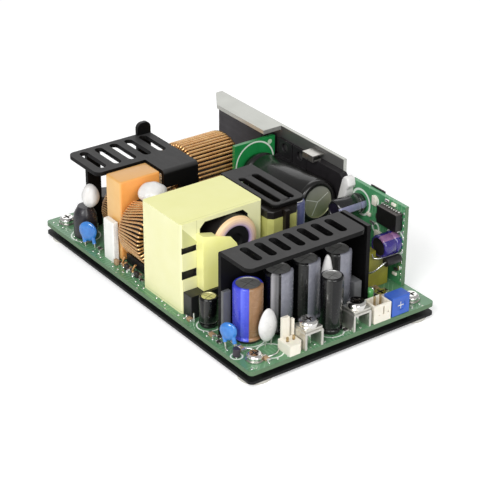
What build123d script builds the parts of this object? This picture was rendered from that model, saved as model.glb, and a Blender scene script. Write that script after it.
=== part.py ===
from build123d import *
import math
import os

os.makedirs("parts", exist_ok=True)

# Circuit board and the mounting stack under it, in millimetres
board_length = 127.0
board_width = 76.2
board_thickness = 1.6
corner_radius = 1.5
hole_inset = 5.7
foot_radius = 5.6
foot_thickness = 1.2
plate_thickness = 1.0
board_gap = 2.2
shank_radius = 2.5
thread_radius = 1.6
stud_depth = 2.8
screw_radius = 1.2
screw_reach = 0.9
board_hole = 1.9
washer_radius = 3.0
washer_bore = 1.8
washer_thickness = 0.5
head_radius = 2.7
head_height = 1.9
head_chamfer = 0.7
stay_screw_place = (50.0, 25.6)
recess_width = 0.7
recess_length = 3.0
recess_depth = 1.0
loose_fit = 0.1

# Folded black heatsinks, all of one sheet and one height
sheet = 1.5
sink_height = 31.0
bend_radius = 1.4
flange_corner = 2.5

# Input heatsink over the line filter
input_back = -50.7
input_front = -30.7
input_nose = -18.9
input_left = -35.0
input_right = -0.9
input_nose_width = 14.4
input_nose_floor = 24.5
input_nose_leg = 7.5
input_slot_count = 5
input_slot_pitch = 6.2
input_slot_first = input_left + 4.7
input_slot_centre = input_back + 9.5
input_slot_length = 15.0
input_slot_width = 3.2
input_ear_width = 5.6
input_ear_rise = 4.6
input_ear_round = 2.2
input_leg_setback = 7.0
input_leg_width = 5.5

# Primary heatsink behind the transformer
primary_left = -6.4
primary_right = 24.4
primary_front = -0.2
primary_wall_end = 14.8
primary_depth = 13.4
primary_slot_length = 22.0
primary_slot_width = 2.6
primary_slot_pitch = 5.6
primary_slot_centre = primary_left + 18.0
primary_slot_shift = 0.6

# Output heatsink over the output capacitors
output_wall = 39.0
output_flange_depth = 16.0
output_left = -33.2
output_right = 14.4
output_arm_gap = 1.2
output_slot_count = 7
output_slot_pitch = 5.65
output_slot_first = output_left + 7.0
output_slot_centre = output_wall + 7.9
output_slot_length = 10.0
output_slot_width = 3.0

# Aluminium side plate that cools the power devices
side_face = 36.3
side_thickness = 1.6
side_left = -59.2
side_right = 15.6
side_height = 34.6
side_flange_depth = 9.4
side_flange_end = -20.2
side_flange_cut_x = 10.0
side_flange_cut_y = 6.6

# Main transformer, a taped core open towards the output end
trafo_left = -1.5
trafo_front = -35.5
trafo_length = 23.0
trafo_width = 32.4
trafo_height = 33.0
trafo_lid = 1.4
window_depth = 13.0
window_front = 7.4
window_back = 5.8
window_sill = 8.0
coil_radius = 9.0
coil_bore = 5.6
coil_setback = 19.9
coil_centre_height = 22.3
coil_reach = 3.0
hub_gap = 0.2
hub_wall = 2.6
hub_recess = 0.6
bobbin_wall = 1.5
window_corner = 2.0
port_depth = 1.2
port_inset = 0.4
port_gap = 1.4
tape_fold = 0.6
coil_edge = 0.4
bobbin_drop = 2.0
port_rises = ((12.8, 15.8), (22.2, 24.4))
rail_depth = 4.6
rail_height = 8.4
rail_notches = 4
rail_pitch = 6.4
rail_notch = 3.4
rail_notch_first = 5.0
rail_step = 2.4
rail_inset = 0.6
rail_setback = 5.0
band_depth = 3.6
band_skin = 0.5
band_gap = 0.2
band_lap = 1.2
band_setback = 8.0
band_tops = ((-13.7, 28.4), (-8.2, 27.1), (-2.7, 25.3), (-0.2, 22.2), (1.0, 18.5))
band_end_height = 14.5

# Inductors: core sizes, wire and turns
turn_gap = 0.1
boost_outer = 12.8
boost_inner = 7.0
boost_width = 18.5
boost_wire = 1.2
boost_turns = 40
boost_centre = (-38.5, 14.2)
large_choke_outer = 11.2
large_choke_inner = 6.0
large_choke_width = 10.8
large_choke_wire = 1.0
large_choke_turns = 20
large_choke_centre = (-13.2, -22.3)
small_choke_outer = 7.8
small_choke_inner = 4.2
small_choke_width = 10.6
small_choke_wire = 0.8
small_choke_turns = 15
small_choke_centre = (-38.2, -17.6)
choke_lift = 0.5
cradle_height = 4.0
cradle_share = 0.7
turn_fill = 1.7
winding_start = 22

# Bulk capacitor lying along the board on its riser
riser_thickness = 1.6
riser_width = 17.8
riser_centre_y = 25.2
riser_face = -20.8
riser_height = 31.2
bulk_radius = 7.9
bulk_length = 36.6
bulk_low = 19.6
bulk_tilt = 3.2
bulk_stand_off = 0.5
bulk_rim = 1.9
bulk_lead = 0.4
bulk_lead_pitch = 7.5

# Electrolytic capacitors: sleeve wall, clearance, rim and vent
sleeve_wall = 0.25
sleeve_gap = 0.15
sleeve_rim = 1.0
neck_depth = 0.14
neck_length = 0.3
sleeve_start = 0.4
top_edge = 0.5
vent_width = 0.35
vent_depth = 0.2
output_can_radius = 5.0
output_can_height = 22.5
blue_can_height = 20.4

# Screw terminals at the output end
terminal_x = 60.0
terminal_size_x = 6.8
terminal_size_y = 7.4
terminal_height = 6.4
terminal_sheet = 0.9
terminal_places = (-13.0, 6.8)
clamp_thickness = 0.8
clamp_inset = 0.3
terminal_head_radius = 3.2
terminal_head_height = 2.2

# Trimmer with a side adjuster
trimmer_face = 63.4
trimmer_depth = 4.6
trimmer_width = 7.4
trimmer_height = 7.0
trimmer_centre_y = 23.3
rotor_radius = 1.7
rotor_gap = 0.05
rotor_length = 2.4
rotor_recess = 0.25
rotor_slot = 0.5
rotor_slot_depth = 0.6

# Upright control board beside the side plate
control_face = 35.9
control_left = 20.7
control_right = 48.9
control_height = 29.8
control_thickness = 1.6

# Power devices on the heatsinks, then the bridge rectifier and its clip as x and height
device_width = 8.2
device_thickness = 2.8
device_tab = 1.1
device_case_height = 9.2
device_tab_height = 15.6
device_hole_height = 12.9
device_hole = 1.6
lead_pitch = 2.54
lead_width = 0.8
lead_thickness = 0.6
boost_foot = 14.6
boost_places = (-26.9, -16.4, -7.6)
primary_foot = 6.0
primary_places = (0.2, 9.4)
output_foot = 5.0
rectifier_places = (-24.0, -12.0, 0.0, 12.0)
bridge_outline = (
    (-1.2, 12.0),
    (15.8, 12.0),
    (15.8, 18.6),
    (18.9, 29.2),
    (17.4, 30.7),
    (-1.2, 30.7),
)
bridge_leads = 4
bridge_lead_first = 1.2
bridge_lead_pitch = 4.2
clip_left = -1.1
clip_right = 4.9
clip_front = 31.2
clip_sheet = 0.6
clip_height = 33.1
clip_foot_end = 35.0
clip_slack = 0.1

# Filter parts at the input end: x and y limits, heights, places
film_footprint = (-30.2, -20.7, -32.0, -15.6)
film_height = 30.4
film_edge = 0.7
bleed_footprint = (-27.9, -21.6, -35.0, -32.5)
bleed_height = 15.4
moulded_edge = 0.4
thermistor_place = (-45.3, -32.0)
thermistor_radius = 4.3
thermistor_height = 12.0
thermistor_shoulder = (2.4, 1.4)
fuse_place = (-57.6, -16.0)
fuse_radius = 4.2
fuse_height = 7.8
disc_thickness = 2.4
disc_lead = 0.35
disc_turn = 30.0
disc_places = (
    (-38.2, -35.2, 5.8, 3.5),
    (47.7, -35.4, 6.6, 3.0),
)

# Upright capacitors: x, y, radius and height of each
output_capacitors = (
    (output_wall + 7.8, -15.3, output_can_radius, output_can_height),
    (output_wall + 7.4, -4.0, output_can_radius, output_can_height),
    (output_wall + 8.2, 8.4, output_can_radius, output_can_height),
)
terminal_capacitor = (57.6, -1.9, 3.9, 20.6)
blue_capacitor = (output_wall + 7.0, -26.6, output_can_radius, blue_can_height)
small_capacitor = (32.1, -32.2, 3.15, 11.0)
bias_capacitor = (18.6, 13.4, 3.2, 27.0)

# Pin headers along the board ends
pin_width = 0.64
pin_slack = 0.1
sense_left = 56.8
sense_right = 63.4
sense_base = (
    (sense_left, -22.7),
    (sense_right, -22.7),
    (sense_right, -18.6),
    (sense_right - 1.6, -17.0),
    (sense_left, -17.0),
)
sense_floor = 3.7
sense_wall = 1.2
sense_posts = ((-21.7, -18.9, 11.2), (-18.1, -17.0, 9.8))
sense_pins = ((sense_left + 3.0, -21.1), (sense_left + 3.0, -18.6))
sense_pin_height = 5.2
shroud_footprint = (57.4, 63.4, 11.8, 18.9)
shroud_height = 6.6
shroud_wall = 0.8
shroud_floor = 1.8
shroud_slits = ((13.9, 1.0, 3.0), (15.8, 1.0, 5.6), (17.8, 1.0, 3.4))
shroud_slit_width = 0.6
shroud_pins = ((60.4, 14.1), (60.4, 16.6))
shroud_pin_height = 8.6
mains_footprint = (-62.9, -55.4, 2.0, 17.0)
mains_floor = 3.2
mains_wall = 1.4
mains_wall_height = 9.0
mains_pin_x = -58.8
mains_pins = ((mains_pin_x, 4.5), (mains_pin_x, 9.5), (mains_pin_x, 14.5))
mains_pin_height = 8.6

# Small parts on the board and beside the heatsinks
led_place = (51.1, 19.6)
led_radius = 1.6
led_flange = 1.9
led_height = 4.2
snubber_footprint = (output_wall + 2.8, output_wall + 6.2, 17.5, 21.7)
snubber_height = 6.9
sensor_back = output_wall + sheet
sensor_footprint = (sensor_back, sensor_back + 1.3, output_left, output_left + 2.9)
sensor_height = 17.0
bead_place = (53.0, -36.0)
bead_radius = 1.2
bead_height = 3.0
bead_thermistor_x = (51.6, 54.6)
bead_thermistor_outline = (
    (-24.3, 1.2),
    (-21.6, 3.6),
    (-20.3, 7.0),
    (-21.0, 10.6),
    (-23.2, 13.4),
    (-24.6, 13.4),
    (-26.8, 10.6),
    (-27.5, 7.0),
    (-26.2, 3.6),
)
bead_thermistor_leads = (-24.7, -22.5)

# Drive transformer under the edge of the primary heatsink
drive_core_x = (15.8, 27.2)
drive_core_y = (2.6, 4.4)
drive_core_height = 29.3
drive_core_bar = 1.9
drive_core_base = 7.4
drive_coil_x = (18.0, 25.4)
drive_coil_y = (-2.6, 10.0)
drive_coil_height = 29.2
drive_coil_corner = 1.6

# Parts on the control board: x and height of each axis or corner
control_capacitor_at = (26.2, 22.9)
control_capacitor_size = (3.6, 12.0)
violet_capacitor_at = (44.9, 15.8)
violet_capacitor_size = (4.0, 7.8)
chip_span = (37.8, 47.8)
chip_rise = (20.8, 27.2)
chip_thickness = 3.0
rear_chip_span = (29.0, 36.4)
rear_chip_rise = (23.0, 30.3)
rear_chip_thickness = 0.55
diode_at = (48.0, 10.9)
diode_radius = 1.5
diode_reach = (control_face - 6.9, control_face - 0.9)
diode_lead = 0.35
standby_footprint = (37.2, 44.4, control_face - 12.1, control_face - 2.3)
standby_height = 11.6
standby_step = control_face - 7.9
standby_top = 14.2

# Sealant: x, y, foot height, top height and radius of each lump
thermistor_lump = (
    thermistor_place[0] + 2.4,
    thermistor_place[1] + 1.0,
    thermistor_height,
    21.0,
    3.1,
)
choke_lump = (large_choke_centre[0] - 2.2, large_choke_centre[1], 24.0, 28.6, 4.5)
terminal_lump = (output_wall + 11.3, 2.0, 0.0, 23.5, 2.05)
slab_outline = (
    (16.2, 17.5),
    (19.5, 29.8),
    (20.6, 31.3),
    (22.6, 31.0),
    (23.4, 28.4),
    (22.1, 26.6),
    (21.0, 17.5),
)
slab_front = control_face - 3.5

board_bottom = foot_thickness + plate_thickness + board_gap
board_top = board_bottom + board_thickness
sink_top = board_top + sink_height
riser_back = riser_face - riser_thickness
side_back = side_face + side_thickness
control_back = control_face + control_thickness
trafo_right = trafo_left + trafo_length
trafo_back = trafo_front + trafo_width
trafo_top = board_top + trafo_height
coil_y = trafo_front + coil_setback

hole_places = [
    (side_x * (board_length / 2 - hole_inset), side_y * (board_width / 2 - hole_inset))
    for side_x in (-1, 1)
    for side_y in (-1, 1)
]


def save(name, shape):
    export_step(shape, "parts/" + name + ".step")


def group(solids):
    return Compound(children=list(solids))


def block(x0, x1, y0, y1, low, high):
    # A box whose low and high are heights above the board
    centre = Pos((x0 + x1) / 2, (y0 + y1) / 2, board_top + (low + high) / 2)
    return centre * Box(x1 - x0, y1 - y0, high - low)


def soft_block(footprint, low, high, radius):
    # A box on a flat base with its upright and top edges rounded
    body = block(*footprint, low, high)
    base = body.faces().sort_by(Axis.Z)[0].edges()
    return chamfer([edge for edge in body.edges() if edge not in base], radius)


def flat_shape(points, low, high):
    outline = make_face(Polyline(*points, close=True))
    return extrude(Plane.XY.offset(board_top + low) * outline, high - low)


def wall_shape(points, y0, y1):
    # Points are x and height above the board
    outline = make_face(Polyline(*points, close=True))
    plane = Plane(origin=(0, y1, board_top), x_dir=(1, 0, 0), z_dir=(0, -1, 0))
    return extrude(plane * outline, y1 - y0)


def cross_wall_shape(points, x0, x1):
    # Points are y and height above the board
    outline = make_face(Polyline(*points, close=True))
    plane = Plane(origin=(x0, 0, board_top), x_dir=(0, 1, 0), z_dir=(1, 0, 0))
    return extrude(plane * outline, x1 - x0)


def rod(radius, length, at, direction=(0, 0, 1)):
    return extrude(Plane(origin=at, z_dir=direction) * Circle(radius), length)


def tube(outer, inner, length, at, direction=(0, 0, 1)):
    outline = Circle(outer) - Circle(inner)
    return extrude(Plane(origin=at, z_dir=direction) * outline, length)


def turned(points, place):
    # A turned shape from radius and height points on its axis
    return place * revolve(Plane.XZ * make_face(Polyline(*points, close=True)), Axis.Z)


def slot_cut(length, width, x, y):
    # A round-ended slot along X through the common top of the heatsinks
    return Pos(x, y, sink_top - sheet) * extrude(SlotOverall(length, width), sheet)


def cross_cut(length, width, depth, at, direction):
    # A cross sunk into a face, against the direction it faces
    cross = Rectangle(length, width) + Rectangle(width, length)
    return extrude(Plane(origin=at, z_dir=direction) * cross, -depth)


# Base plate, standoffs, board and screws


def board_slab(thickness, z, hole, extra):
    outline = RectangleRounded(board_length, board_width, corner_radius)
    holes = [Pos(x, y) * Circle(hole) for x, y in hole_places + extra]
    return Pos(0, 0, z) * extrude(outline - holes, thickness)


def standoff(x, y):
    # The chassis stud enters from below and the board screw from above
    foot = rod(foot_radius, foot_thickness, (x, y, 0))
    shank = rod(shank_radius, board_bottom, (x, y, 0))
    bore = rod(thread_radius, stud_depth, (x, y, 0))
    bore += rod(screw_radius + loose_fit, board_bottom, (x, y, 0))
    return foot + shank - bore


def washer(x, y, z):
    return tube(washer_radius, washer_bore, washer_thickness, (x, y, z))


def pan_screw(x, y, z, reach, radius, height):
    # Head seated at z, shank down to the reach below it
    head = rod(radius, height, (x, y, z))
    head = chamfer(head.edges().group_by(Axis.Z)[-1], head_chamfer)
    head -= cross_cut(recess_length, recess_width, recess_depth, (x, y, z + height), (0, 0, 1))
    return head + rod(screw_radius, reach, (x, y, z - reach))


def base_stack():
    save("base_plate", board_slab(plate_thickness, foot_thickness, shank_radius + loose_fit, []))
    save("circuit_board", board_slab(board_thickness, board_bottom, board_hole, [stay_screw_place]))
    save("corner_standoffs", group(standoff(x, y) for x, y in hole_places))
    save("corner_washers", group(washer(x, y, board_top) for x, y in hole_places))
    seat = board_top + washer_thickness
    reach = washer_thickness + board_thickness + screw_reach
    screws = [pan_screw(x, y, seat, reach, head_radius, head_height) for x, y in hole_places]
    stay_reach = board_thickness + screw_reach / 2
    screws.append(pan_screw(*stay_screw_place, board_top, stay_reach, head_radius, head_height))
    save("board_screws", group(screws))


# Black folded heatsinks


def flange_plate(points, corners, radius):
    # A flat plate under the common top, its chosen corners rounded
    plate = flat_shape(points, sink_height - sheet, sink_height)
    upright = plate.edges().filter_by(Axis.Z)
    chosen = [upright.sort_by_distance((x, y, sink_top))[0] for x, y in corners]
    return fillet(chosen, radius)


def input_heatsink():
    nose_left = input_right - input_nose_width
    outline = [
        (input_back, input_left),
        (input_front, input_left),
        (input_front, nose_left),
        (input_nose, nose_left),
        (input_nose, input_right),
        (input_back, input_right),
    ]
    body = flange_plate(outline, outline[:2], flange_corner)
    for index in range(input_slot_count):
        y = input_slot_first + index * input_slot_pitch
        body -= slot_cut(input_slot_length, input_slot_width, input_slot_centre, y)
    nose_back = input_nose - sheet
    body += block(nose_back, input_nose, nose_left, input_right, input_nose_floor, sink_height)
    body += block(nose_back, input_nose, input_right - input_nose_leg, input_right, 0, input_nose_floor)
    ear_top = sink_height + input_ear_rise
    ear_left = input_right - input_ear_width
    leg = block(input_back, input_back + sheet, ear_left, input_right, 0, ear_top)
    body += fillet(leg.edges().filter_by(Axis.X).group_by(Axis.Z)[-1], input_ear_round)
    leg_start = input_left + input_leg_setback
    leg_end = leg_start + input_leg_width
    body += block(input_back, input_back + sheet, leg_start, leg_end, 0, sink_height)
    fold = body.edges().filter_by(Axis.Y).group_by(Axis.Z)[-2].sort_by(Axis.X)[-1]
    return fillet(fold, bend_radius)


def primary_heatsink():
    back = primary_front + primary_depth
    outline = [
        (primary_left, primary_front),
        (primary_right, primary_front),
        (primary_right, back),
        (primary_left, back),
    ]
    body = flange_plate(outline, outline[1:3], flange_corner)
    middle = primary_front + primary_depth / 2 - primary_slot_shift
    for side in (-0.5, 0.5):
        y = middle + side * primary_slot_pitch
        body -= slot_cut(primary_slot_length, primary_slot_width, primary_slot_centre, y)
    return body + block(primary_left, primary_wall_end, back - sheet, back, 0, sink_height)


def output_heatsink():
    front = output_wall + output_flange_depth
    outline = [
        (output_wall, output_left),
        (front, output_left),
        (front, output_right),
        (output_wall, output_right),
    ]
    body = flange_plate(outline, outline[1:3], flange_corner)
    for index in range(output_slot_count):
        y = output_slot_first + index * output_slot_pitch
        body -= slot_cut(output_slot_length, output_slot_width, output_slot_centre, y)
    arm = output_right + output_arm_gap
    body += block(output_wall, output_wall + sheet, output_left, arm + sheet, 0, sink_height)
    body += block(output_wall, front - sheet, arm, arm + sheet, 0, sink_height)
    fold = body.edges().filter_by(Axis.Y).group_by(Axis.Z)[-1].sort_by(Axis.X)[0]
    turn = body.edges().filter_by(Axis.Z).sort_by_distance((output_wall, arm + sheet, sink_top / 2))[0]
    return fillet([fold, turn], bend_radius)


def side_plate():
    body = block(side_left, side_right, side_face, side_back, 0, side_height)
    front = side_back - side_flange_depth
    outline = [
        (side_left, side_back),
        (side_left, front + side_flange_cut_y),
        (side_left + side_flange_cut_x, front),
        (side_flange_end, front),
        (side_flange_end, side_back),
    ]
    body += flat_shape(outline, side_height - side_thickness, side_height)
    slot_low = clip_height - clip_sheet - clip_slack
    slot_high = clip_height + clip_slack
    slot_ends = (clip_left - clip_slack, clip_right + clip_slack)
    return body - block(*slot_ends, side_face, side_back, slot_low, slot_high)


def heatsinks():
    save("input_heatsink", input_heatsink())
    save("primary_heatsink", primary_heatsink())
    save("output_heatsink", output_heatsink())
    save("side_plate", side_plate())


# Main transformer


def transformer():
    front = trafo_front + window_front
    back = trafo_back - window_back
    lid = trafo_height - trafo_lid
    inner = trafo_right - window_depth
    core = block(trafo_left, trafo_right, trafo_front, trafo_back, 0, trafo_height)
    core = chamfer(core.edges().filter_by(Axis.Z), tape_fold)
    window = block(inner, trafo_right, front, back, window_sill, lid)
    core -= chamfer(window.edges().filter_by(Axis.X).group_by(Axis.Z)[-1], window_corner)
    for low, high in port_rises:
        port_front = trafo_front + port_inset
        core -= block(trafo_right - port_depth, trafo_right, port_front, front - port_gap, low, high)
    centre_z = board_top + coil_centre_height
    hollow = coil_radius + band_gap
    save("transformer_core", core - rod(hollow, window_depth, (inner, coil_y, centre_z), (1, 0, 0)))

    face = trafo_right + coil_reach
    coil_back = inner + bobbin_wall
    coil = tube(coil_radius, coil_bore, face - coil_back, (coil_back, coil_y, centre_z), (1, 0, 0))
    save("transformer_coil", chamfer(coil.edges().sort_by(Axis.X)[-2:], coil_edge))

    hub_radius = coil_bore - hub_gap
    hub_at = (inner, coil_y, centre_z)
    bobbin = block(inner, coil_back, front, back, window_sill, lid - bobbin_drop)
    bobbin += tube(hub_radius, hub_radius - hub_wall, face - hub_recess - inner, hub_at, (1, 0, 0))
    bobbin += rod(hub_radius, face - 3 * hub_recess - inner, hub_at, (1, 0, 0))
    save("transformer_bobbin", bobbin)

    # The pin rail stands on the board under the tape band
    rail_front = trafo_right + rail_depth
    rail = block(trafo_right, rail_front, trafo_front + rail_inset, trafo_back - rail_setback, 0, rail_height)
    for index in range(rail_notches):
        y = trafo_front + rail_notch_first + index * rail_pitch
        rail -= block(trafo_right + rail_step, rail_front, y, y + rail_notch, 0, rail_notch)
    save("transformer_pin_rail", rail)

    # Yellow tape wrapped over the lower part of the coil, its points from the coil's axis
    band_front = front - band_lap
    band_back = trafo_back - band_setback
    points = [(band_back, rail_height), (band_front, rail_height)]
    points += [(coil_y + y, height) for y, height in band_tops]
    points.append((band_back, band_end_height))
    band = cross_wall_shape(points, trafo_right, trafo_right + band_depth)
    pocket = rod(hollow, band_depth - band_skin, (trafo_right, coil_y, centre_z), (1, 0, 0))
    save("transformer_tape", band - pocket)


# Wound rings: a core and its separate turns


def toroid_core(outer, inner, width, place):
    half = width / 2
    points = [(inner, -half), (outer, -half), (outer, half), (inner, half)]
    return turned(points, place)


def toroid_turns(outer, inner, width, wire, angles, place):
    # Each turn is a closed loop of wire about the core's section
    far = outer + turn_gap + wire
    near = inner - turn_gap - wire
    reach = width / 2 + turn_gap + wire
    loop = Pos((near + far) / 2, 0) * Rectangle(far - near, 2 * reach)
    hole = Pos((outer + inner) / 2, 0) * Rectangle(outer - inner + 2 * turn_gap, width + 2 * turn_gap)
    turn_width = wire * turn_fill * near / far
    turn = extrude(Plane.XZ * (loop - hole), turn_width / 2, both=True)
    return [place * Rot(0, 0, angle) * turn for angle in angles]


def spread(start, end, count):
    return [start + (end - start) * index / (count - 1) for index in range(count)]


def upright_ring(x, y, height, direction):
    # Local X points up, so that angles count from the top
    return Location(Plane(origin=(x, y, board_top + height), x_dir=(0, 0, 1), z_dir=direction))


def line_choke(name, outer, inner, width, wire, turns, centre):
    # Two equal windings on one ring whose axis runs along the board
    total = outer + turn_gap + wire
    height = total + choke_lift
    place = upright_ring(*centre, height, (1, 0, 0))
    save(name + "_core", toroid_core(outer, inner, width, place))
    angles = spread(winding_start, 180 - winding_start, turns)
    angles += [360 - angle for angle in angles]
    save(name + "_windings", group(toroid_turns(outer, inner, width, wire, angles, place)))
    half = width / 2 + turn_gap + wire
    reach = total * cradle_share
    x, y = centre
    cradle = block(x - half, x + half, y - reach, y + reach, 0, cradle_height)
    return cradle - rod(total + turn_gap, 2 * half, (x - half, y, board_top + height), (1, 0, 0))


def inductors():
    large = line_choke(
        "large_choke",
        large_choke_outer,
        large_choke_inner,
        large_choke_width,
        large_choke_wire,
        large_choke_turns,
        large_choke_centre,
    )
    small = line_choke(
        "small_choke",
        small_choke_outer,
        small_choke_inner,
        small_choke_width,
        small_choke_wire,
        small_choke_turns,
        small_choke_centre,
    )
    total = boost_outer + turn_gap + boost_wire
    x, y = boost_centre
    place = upright_ring(x, y, total + choke_lift, (0, 1, 0))
    save("boost_inductor_core", toroid_core(boost_outer, boost_inner, boost_width, place))
    angles = spread(-168, 168, boost_turns)
    turns = toroid_turns(boost_outer, boost_inner, boost_width, boost_wire, angles, place)
    save("boost_inductor_winding", group(turns))
    half = boost_width / 2 + turn_gap + boost_wire
    reach = total * cradle_share
    cradle = block(x - reach, x + reach, y - half, y + half, 0, cradle_height)
    hollow = rod(total + turn_gap, 2 * half, (x, y - half, board_top + total + choke_lift), (0, 1, 0))
    save("choke_cradles", group([large, small, cradle - hollow]))


# Electrolytic capacitors


def drum(radius, height, place):
    # Can drawn in at its seal end, with a scored vent in its top
    neck = radius * neck_depth
    low = radius * neck_length
    points = [
        (0, 0),
        (radius - neck, 0),
        (radius - neck, low),
        (radius, low + neck),
        (radius, height - top_edge),
        (radius - top_edge, height),
        (0, height),
    ]
    score = cross_cut(radius * 1.3, vent_width, vent_depth, (0, 0, height), (0, 0, 1))
    return turned(points, place) - place * score


def can(radius, height, place):
    return drum(radius - sleeve_wall - sleeve_gap, height, place)


def sleeve(radius, height, rim, place, necked):
    # Shrunk sleeve that turns over the can's top edge, and follows its neck if necked
    inside = radius - sleeve_wall
    can_radius = inside - sleeve_gap
    neck = can_radius * neck_depth
    low = can_radius * neck_length
    lip = height + sleeve_gap
    top = lip + sleeve_wall
    outer = [(radius - neck, sleeve_start), (radius - neck, low), (radius, low + neck)]
    inner = [(inside, low + neck), (inside - neck, low), (inside - neck, sleeve_start)]
    if not necked:
        outer = [(radius, sleeve_start)]
        inner = [(inside, sleeve_start)]
    rim_points = [
        (radius, top - top_edge),
        (radius - top_edge, top),
        (inside - rim, top),
        (inside - rim, lip),
        (inside - top_edge, lip),
        (inside, lip - top_edge),
    ]
    return turned(outer + rim_points + inner, place)


def standing(x, y):
    return Pos(x, y, board_top)


def lying(x, height):
    # Local Z points away from the control board's front face
    return Location(Plane(origin=(x, control_face, board_top + height), z_dir=(0, -1, 0)))


def capacitors():
    black = [*output_capacitors, terminal_capacitor]
    cans = [can(r, h, standing(x, y)) for x, y, r, h in [*black, blue_capacitor]]
    save("upright_capacitor_cans", group(cans))
    sleeves = [sleeve(r, h, sleeve_rim, standing(x, y), False) for x, y, r, h in black]
    save("black_capacitor_sleeves", group(sleeves))
    x, y, r, h = blue_capacitor
    save("blue_capacitor_sleeve", sleeve(r, h, sleeve_rim, standing(x, y), False))
    for name, place in (("small_capacitor", small_capacitor), ("bias_capacitor", bias_capacitor)):
        x, y, r, h = place
        save(name, drum(r, h, standing(x, y)))


def bulk_capacitor():
    # It leans a little, its leads soldered through an upright riser board
    tilt = math.radians(bulk_tilt)
    low_end = (riser_face + bulk_stand_off, riser_centre_y, board_top + bulk_low)
    place = Location(Plane(origin=low_end, z_dir=(math.cos(tilt), 0, math.sin(tilt))))
    body = can(bulk_radius, bulk_length, place)
    edge_y = riser_centre_y + riser_width / 2
    riser = block(riser_back, riser_face, edge_y - riser_width, edge_y, 0, riser_height)
    for side in (-0.5, 0.5):
        at = (riser_back - bulk_stand_off, riser_centre_y + side * bulk_lead_pitch, board_top + bulk_low)
        body += rod(bulk_lead, riser_thickness + 2.5 * bulk_stand_off, at, (1, 0, 0))
        riser -= rod(bulk_lead + loose_fit, riser_thickness + bulk_stand_off, at, (1, 0, 0))
    save("bulk_capacitor_can", body)
    save("bulk_capacitor_sleeve", sleeve(bulk_radius, bulk_length, bulk_rim, place, True))
    save("bulk_capacitor_riser", riser)


# Filter parts at the input end


def disc_capacitor(x, y, height, radius):
    # A dipped disc turned from the long edge towards the output, on two wire leads
    half = disc_thickness / 2
    points = [(0, -half), (radius * 0.75, 0.2 - half), (radius, 0), (radius * 0.75, half - 0.2), (0, half)]
    along = (math.cos(math.radians(disc_turn)), math.sin(math.radians(disc_turn)))
    place = Location(Plane(origin=(x, y, board_top + height), z_dir=(along[1], -along[0], 0)))
    body = turned(points, place)
    for reach in (-0.55 * radius, 0.55 * radius):
        body += rod(disc_lead, height, (x + reach * along[0], y + reach * along[1], board_top))
    return body


def input_parts():
    save("film_capacitor", soft_block(film_footprint, 0, film_height, film_edge))
    bleed = soft_block(bleed_footprint, 0, bleed_height, moulded_edge)
    save("small_resistors", group([bleed, rod(bead_radius, bead_height, (*bead_place, board_top))]))
    thermistor = rod(thermistor_radius, thermistor_height, (*thermistor_place, board_top))
    save("sleeved_thermistor", chamfer(thermistor.edges().group_by(Axis.Z)[-1], *thermistor_shoulder))
    save("input_fuse", rod(fuse_radius, fuse_height, (*fuse_place, board_top)))
    save("disc_capacitors", group(disc_capacitor(*place) for place in disc_places))


# Pin headers: moulded housings and square pins


def pin(x, y, height):
    half = pin_width / 2
    return block(x - half, x + half, y - half, y + half, 0, height)


def pin_hole(x, y, depth):
    half = pin_width / 2 + pin_slack
    return block(x - half, x + half, y - half, y + half, 0, depth)


def sense_housing():
    # A chamfered base with two latch posts at its back
    body = flat_shape(sense_base, 0, sense_floor)
    back = sense_base[0][0]
    for low_y, high_y, height in sense_posts:
        body += block(back, back + sense_wall, low_y, high_y, 0, height)
    return body - [pin_hole(x, y, sense_floor) for x, y in sense_pins]


def shroud_housing():
    # An open box with slits in the wall that faces out
    x0, x1, y0, y1 = shroud_footprint
    body = block(*shroud_footprint, 0, shroud_height)
    inner = (x0 + shroud_wall, x1 - shroud_wall, y0 + shroud_wall, y1 - shroud_wall)
    body -= block(*inner, shroud_floor, shroud_height)
    half = shroud_slit_width / 2
    for y, low, high in shroud_slits:
        body -= block(x1 - shroud_wall, x1, y - half, y + half, shroud_floor + low, high)
    return body - [pin_hole(x, y, shroud_floor) for x, y in shroud_pins]


def mains_housing():
    # A floor with one latch wall, slit between the positions
    x0, x1, y0, y1 = mains_footprint
    body = block(*mains_footprint, 0, mains_floor)
    body += block(x0, x0 + mains_wall, y0, y1, 0, mains_wall_height)
    for index in range(1, len(mains_pins)):
        y = y0 + index * (y1 - y0) / len(mains_pins)
        body -= block(x0, x0 + mains_wall, y - 0.8, y + 0.8, mains_floor + 1.0, mains_wall_height)
    return body - [pin_hole(x, y, mains_floor) for x, y in mains_pins]


def headers():
    save("header_housings", group([sense_housing(), shroud_housing(), mains_housing()]))
    pins = [pin(x, y, sense_pin_height) for x, y in sense_pins]
    pins += [pin(x, y, shroud_pin_height) for x, y in shroud_pins]
    pins += [pin(x, y, mains_pin_height) for x, y in mains_pins]
    save("header_pins", group(pins))


# Output terminals: a folded bracket, a clamp plate and a screw each


def terminal_bracket(y):
    x0 = terminal_x - terminal_size_x / 2
    x1 = terminal_x + terminal_size_x / 2
    y0 = y - terminal_size_y / 2
    y1 = y + terminal_size_y / 2
    body = block(x0, x1, y0, y1, 0, terminal_height)
    body = chamfer(body.edges().filter_by(Axis.X).group_by(Axis.Z)[-1], 0.5)
    body -= block(x0, x1, y0 + terminal_sheet, y1 - terminal_sheet, 0, terminal_height - terminal_sheet)
    return body - rod(thread_radius, terminal_height, (terminal_x, y, board_top))


def terminal_clamp(y):
    half_x = terminal_size_x / 2 - clamp_inset
    half_y = terminal_size_y / 2 - clamp_inset
    edges = (terminal_x - half_x, terminal_x + half_x, y - half_y, y + half_y)
    plate = block(*edges, terminal_height, terminal_height + clamp_thickness)
    return plate - rod(thread_radius, terminal_height + clamp_thickness, (terminal_x, y, board_top))


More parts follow.
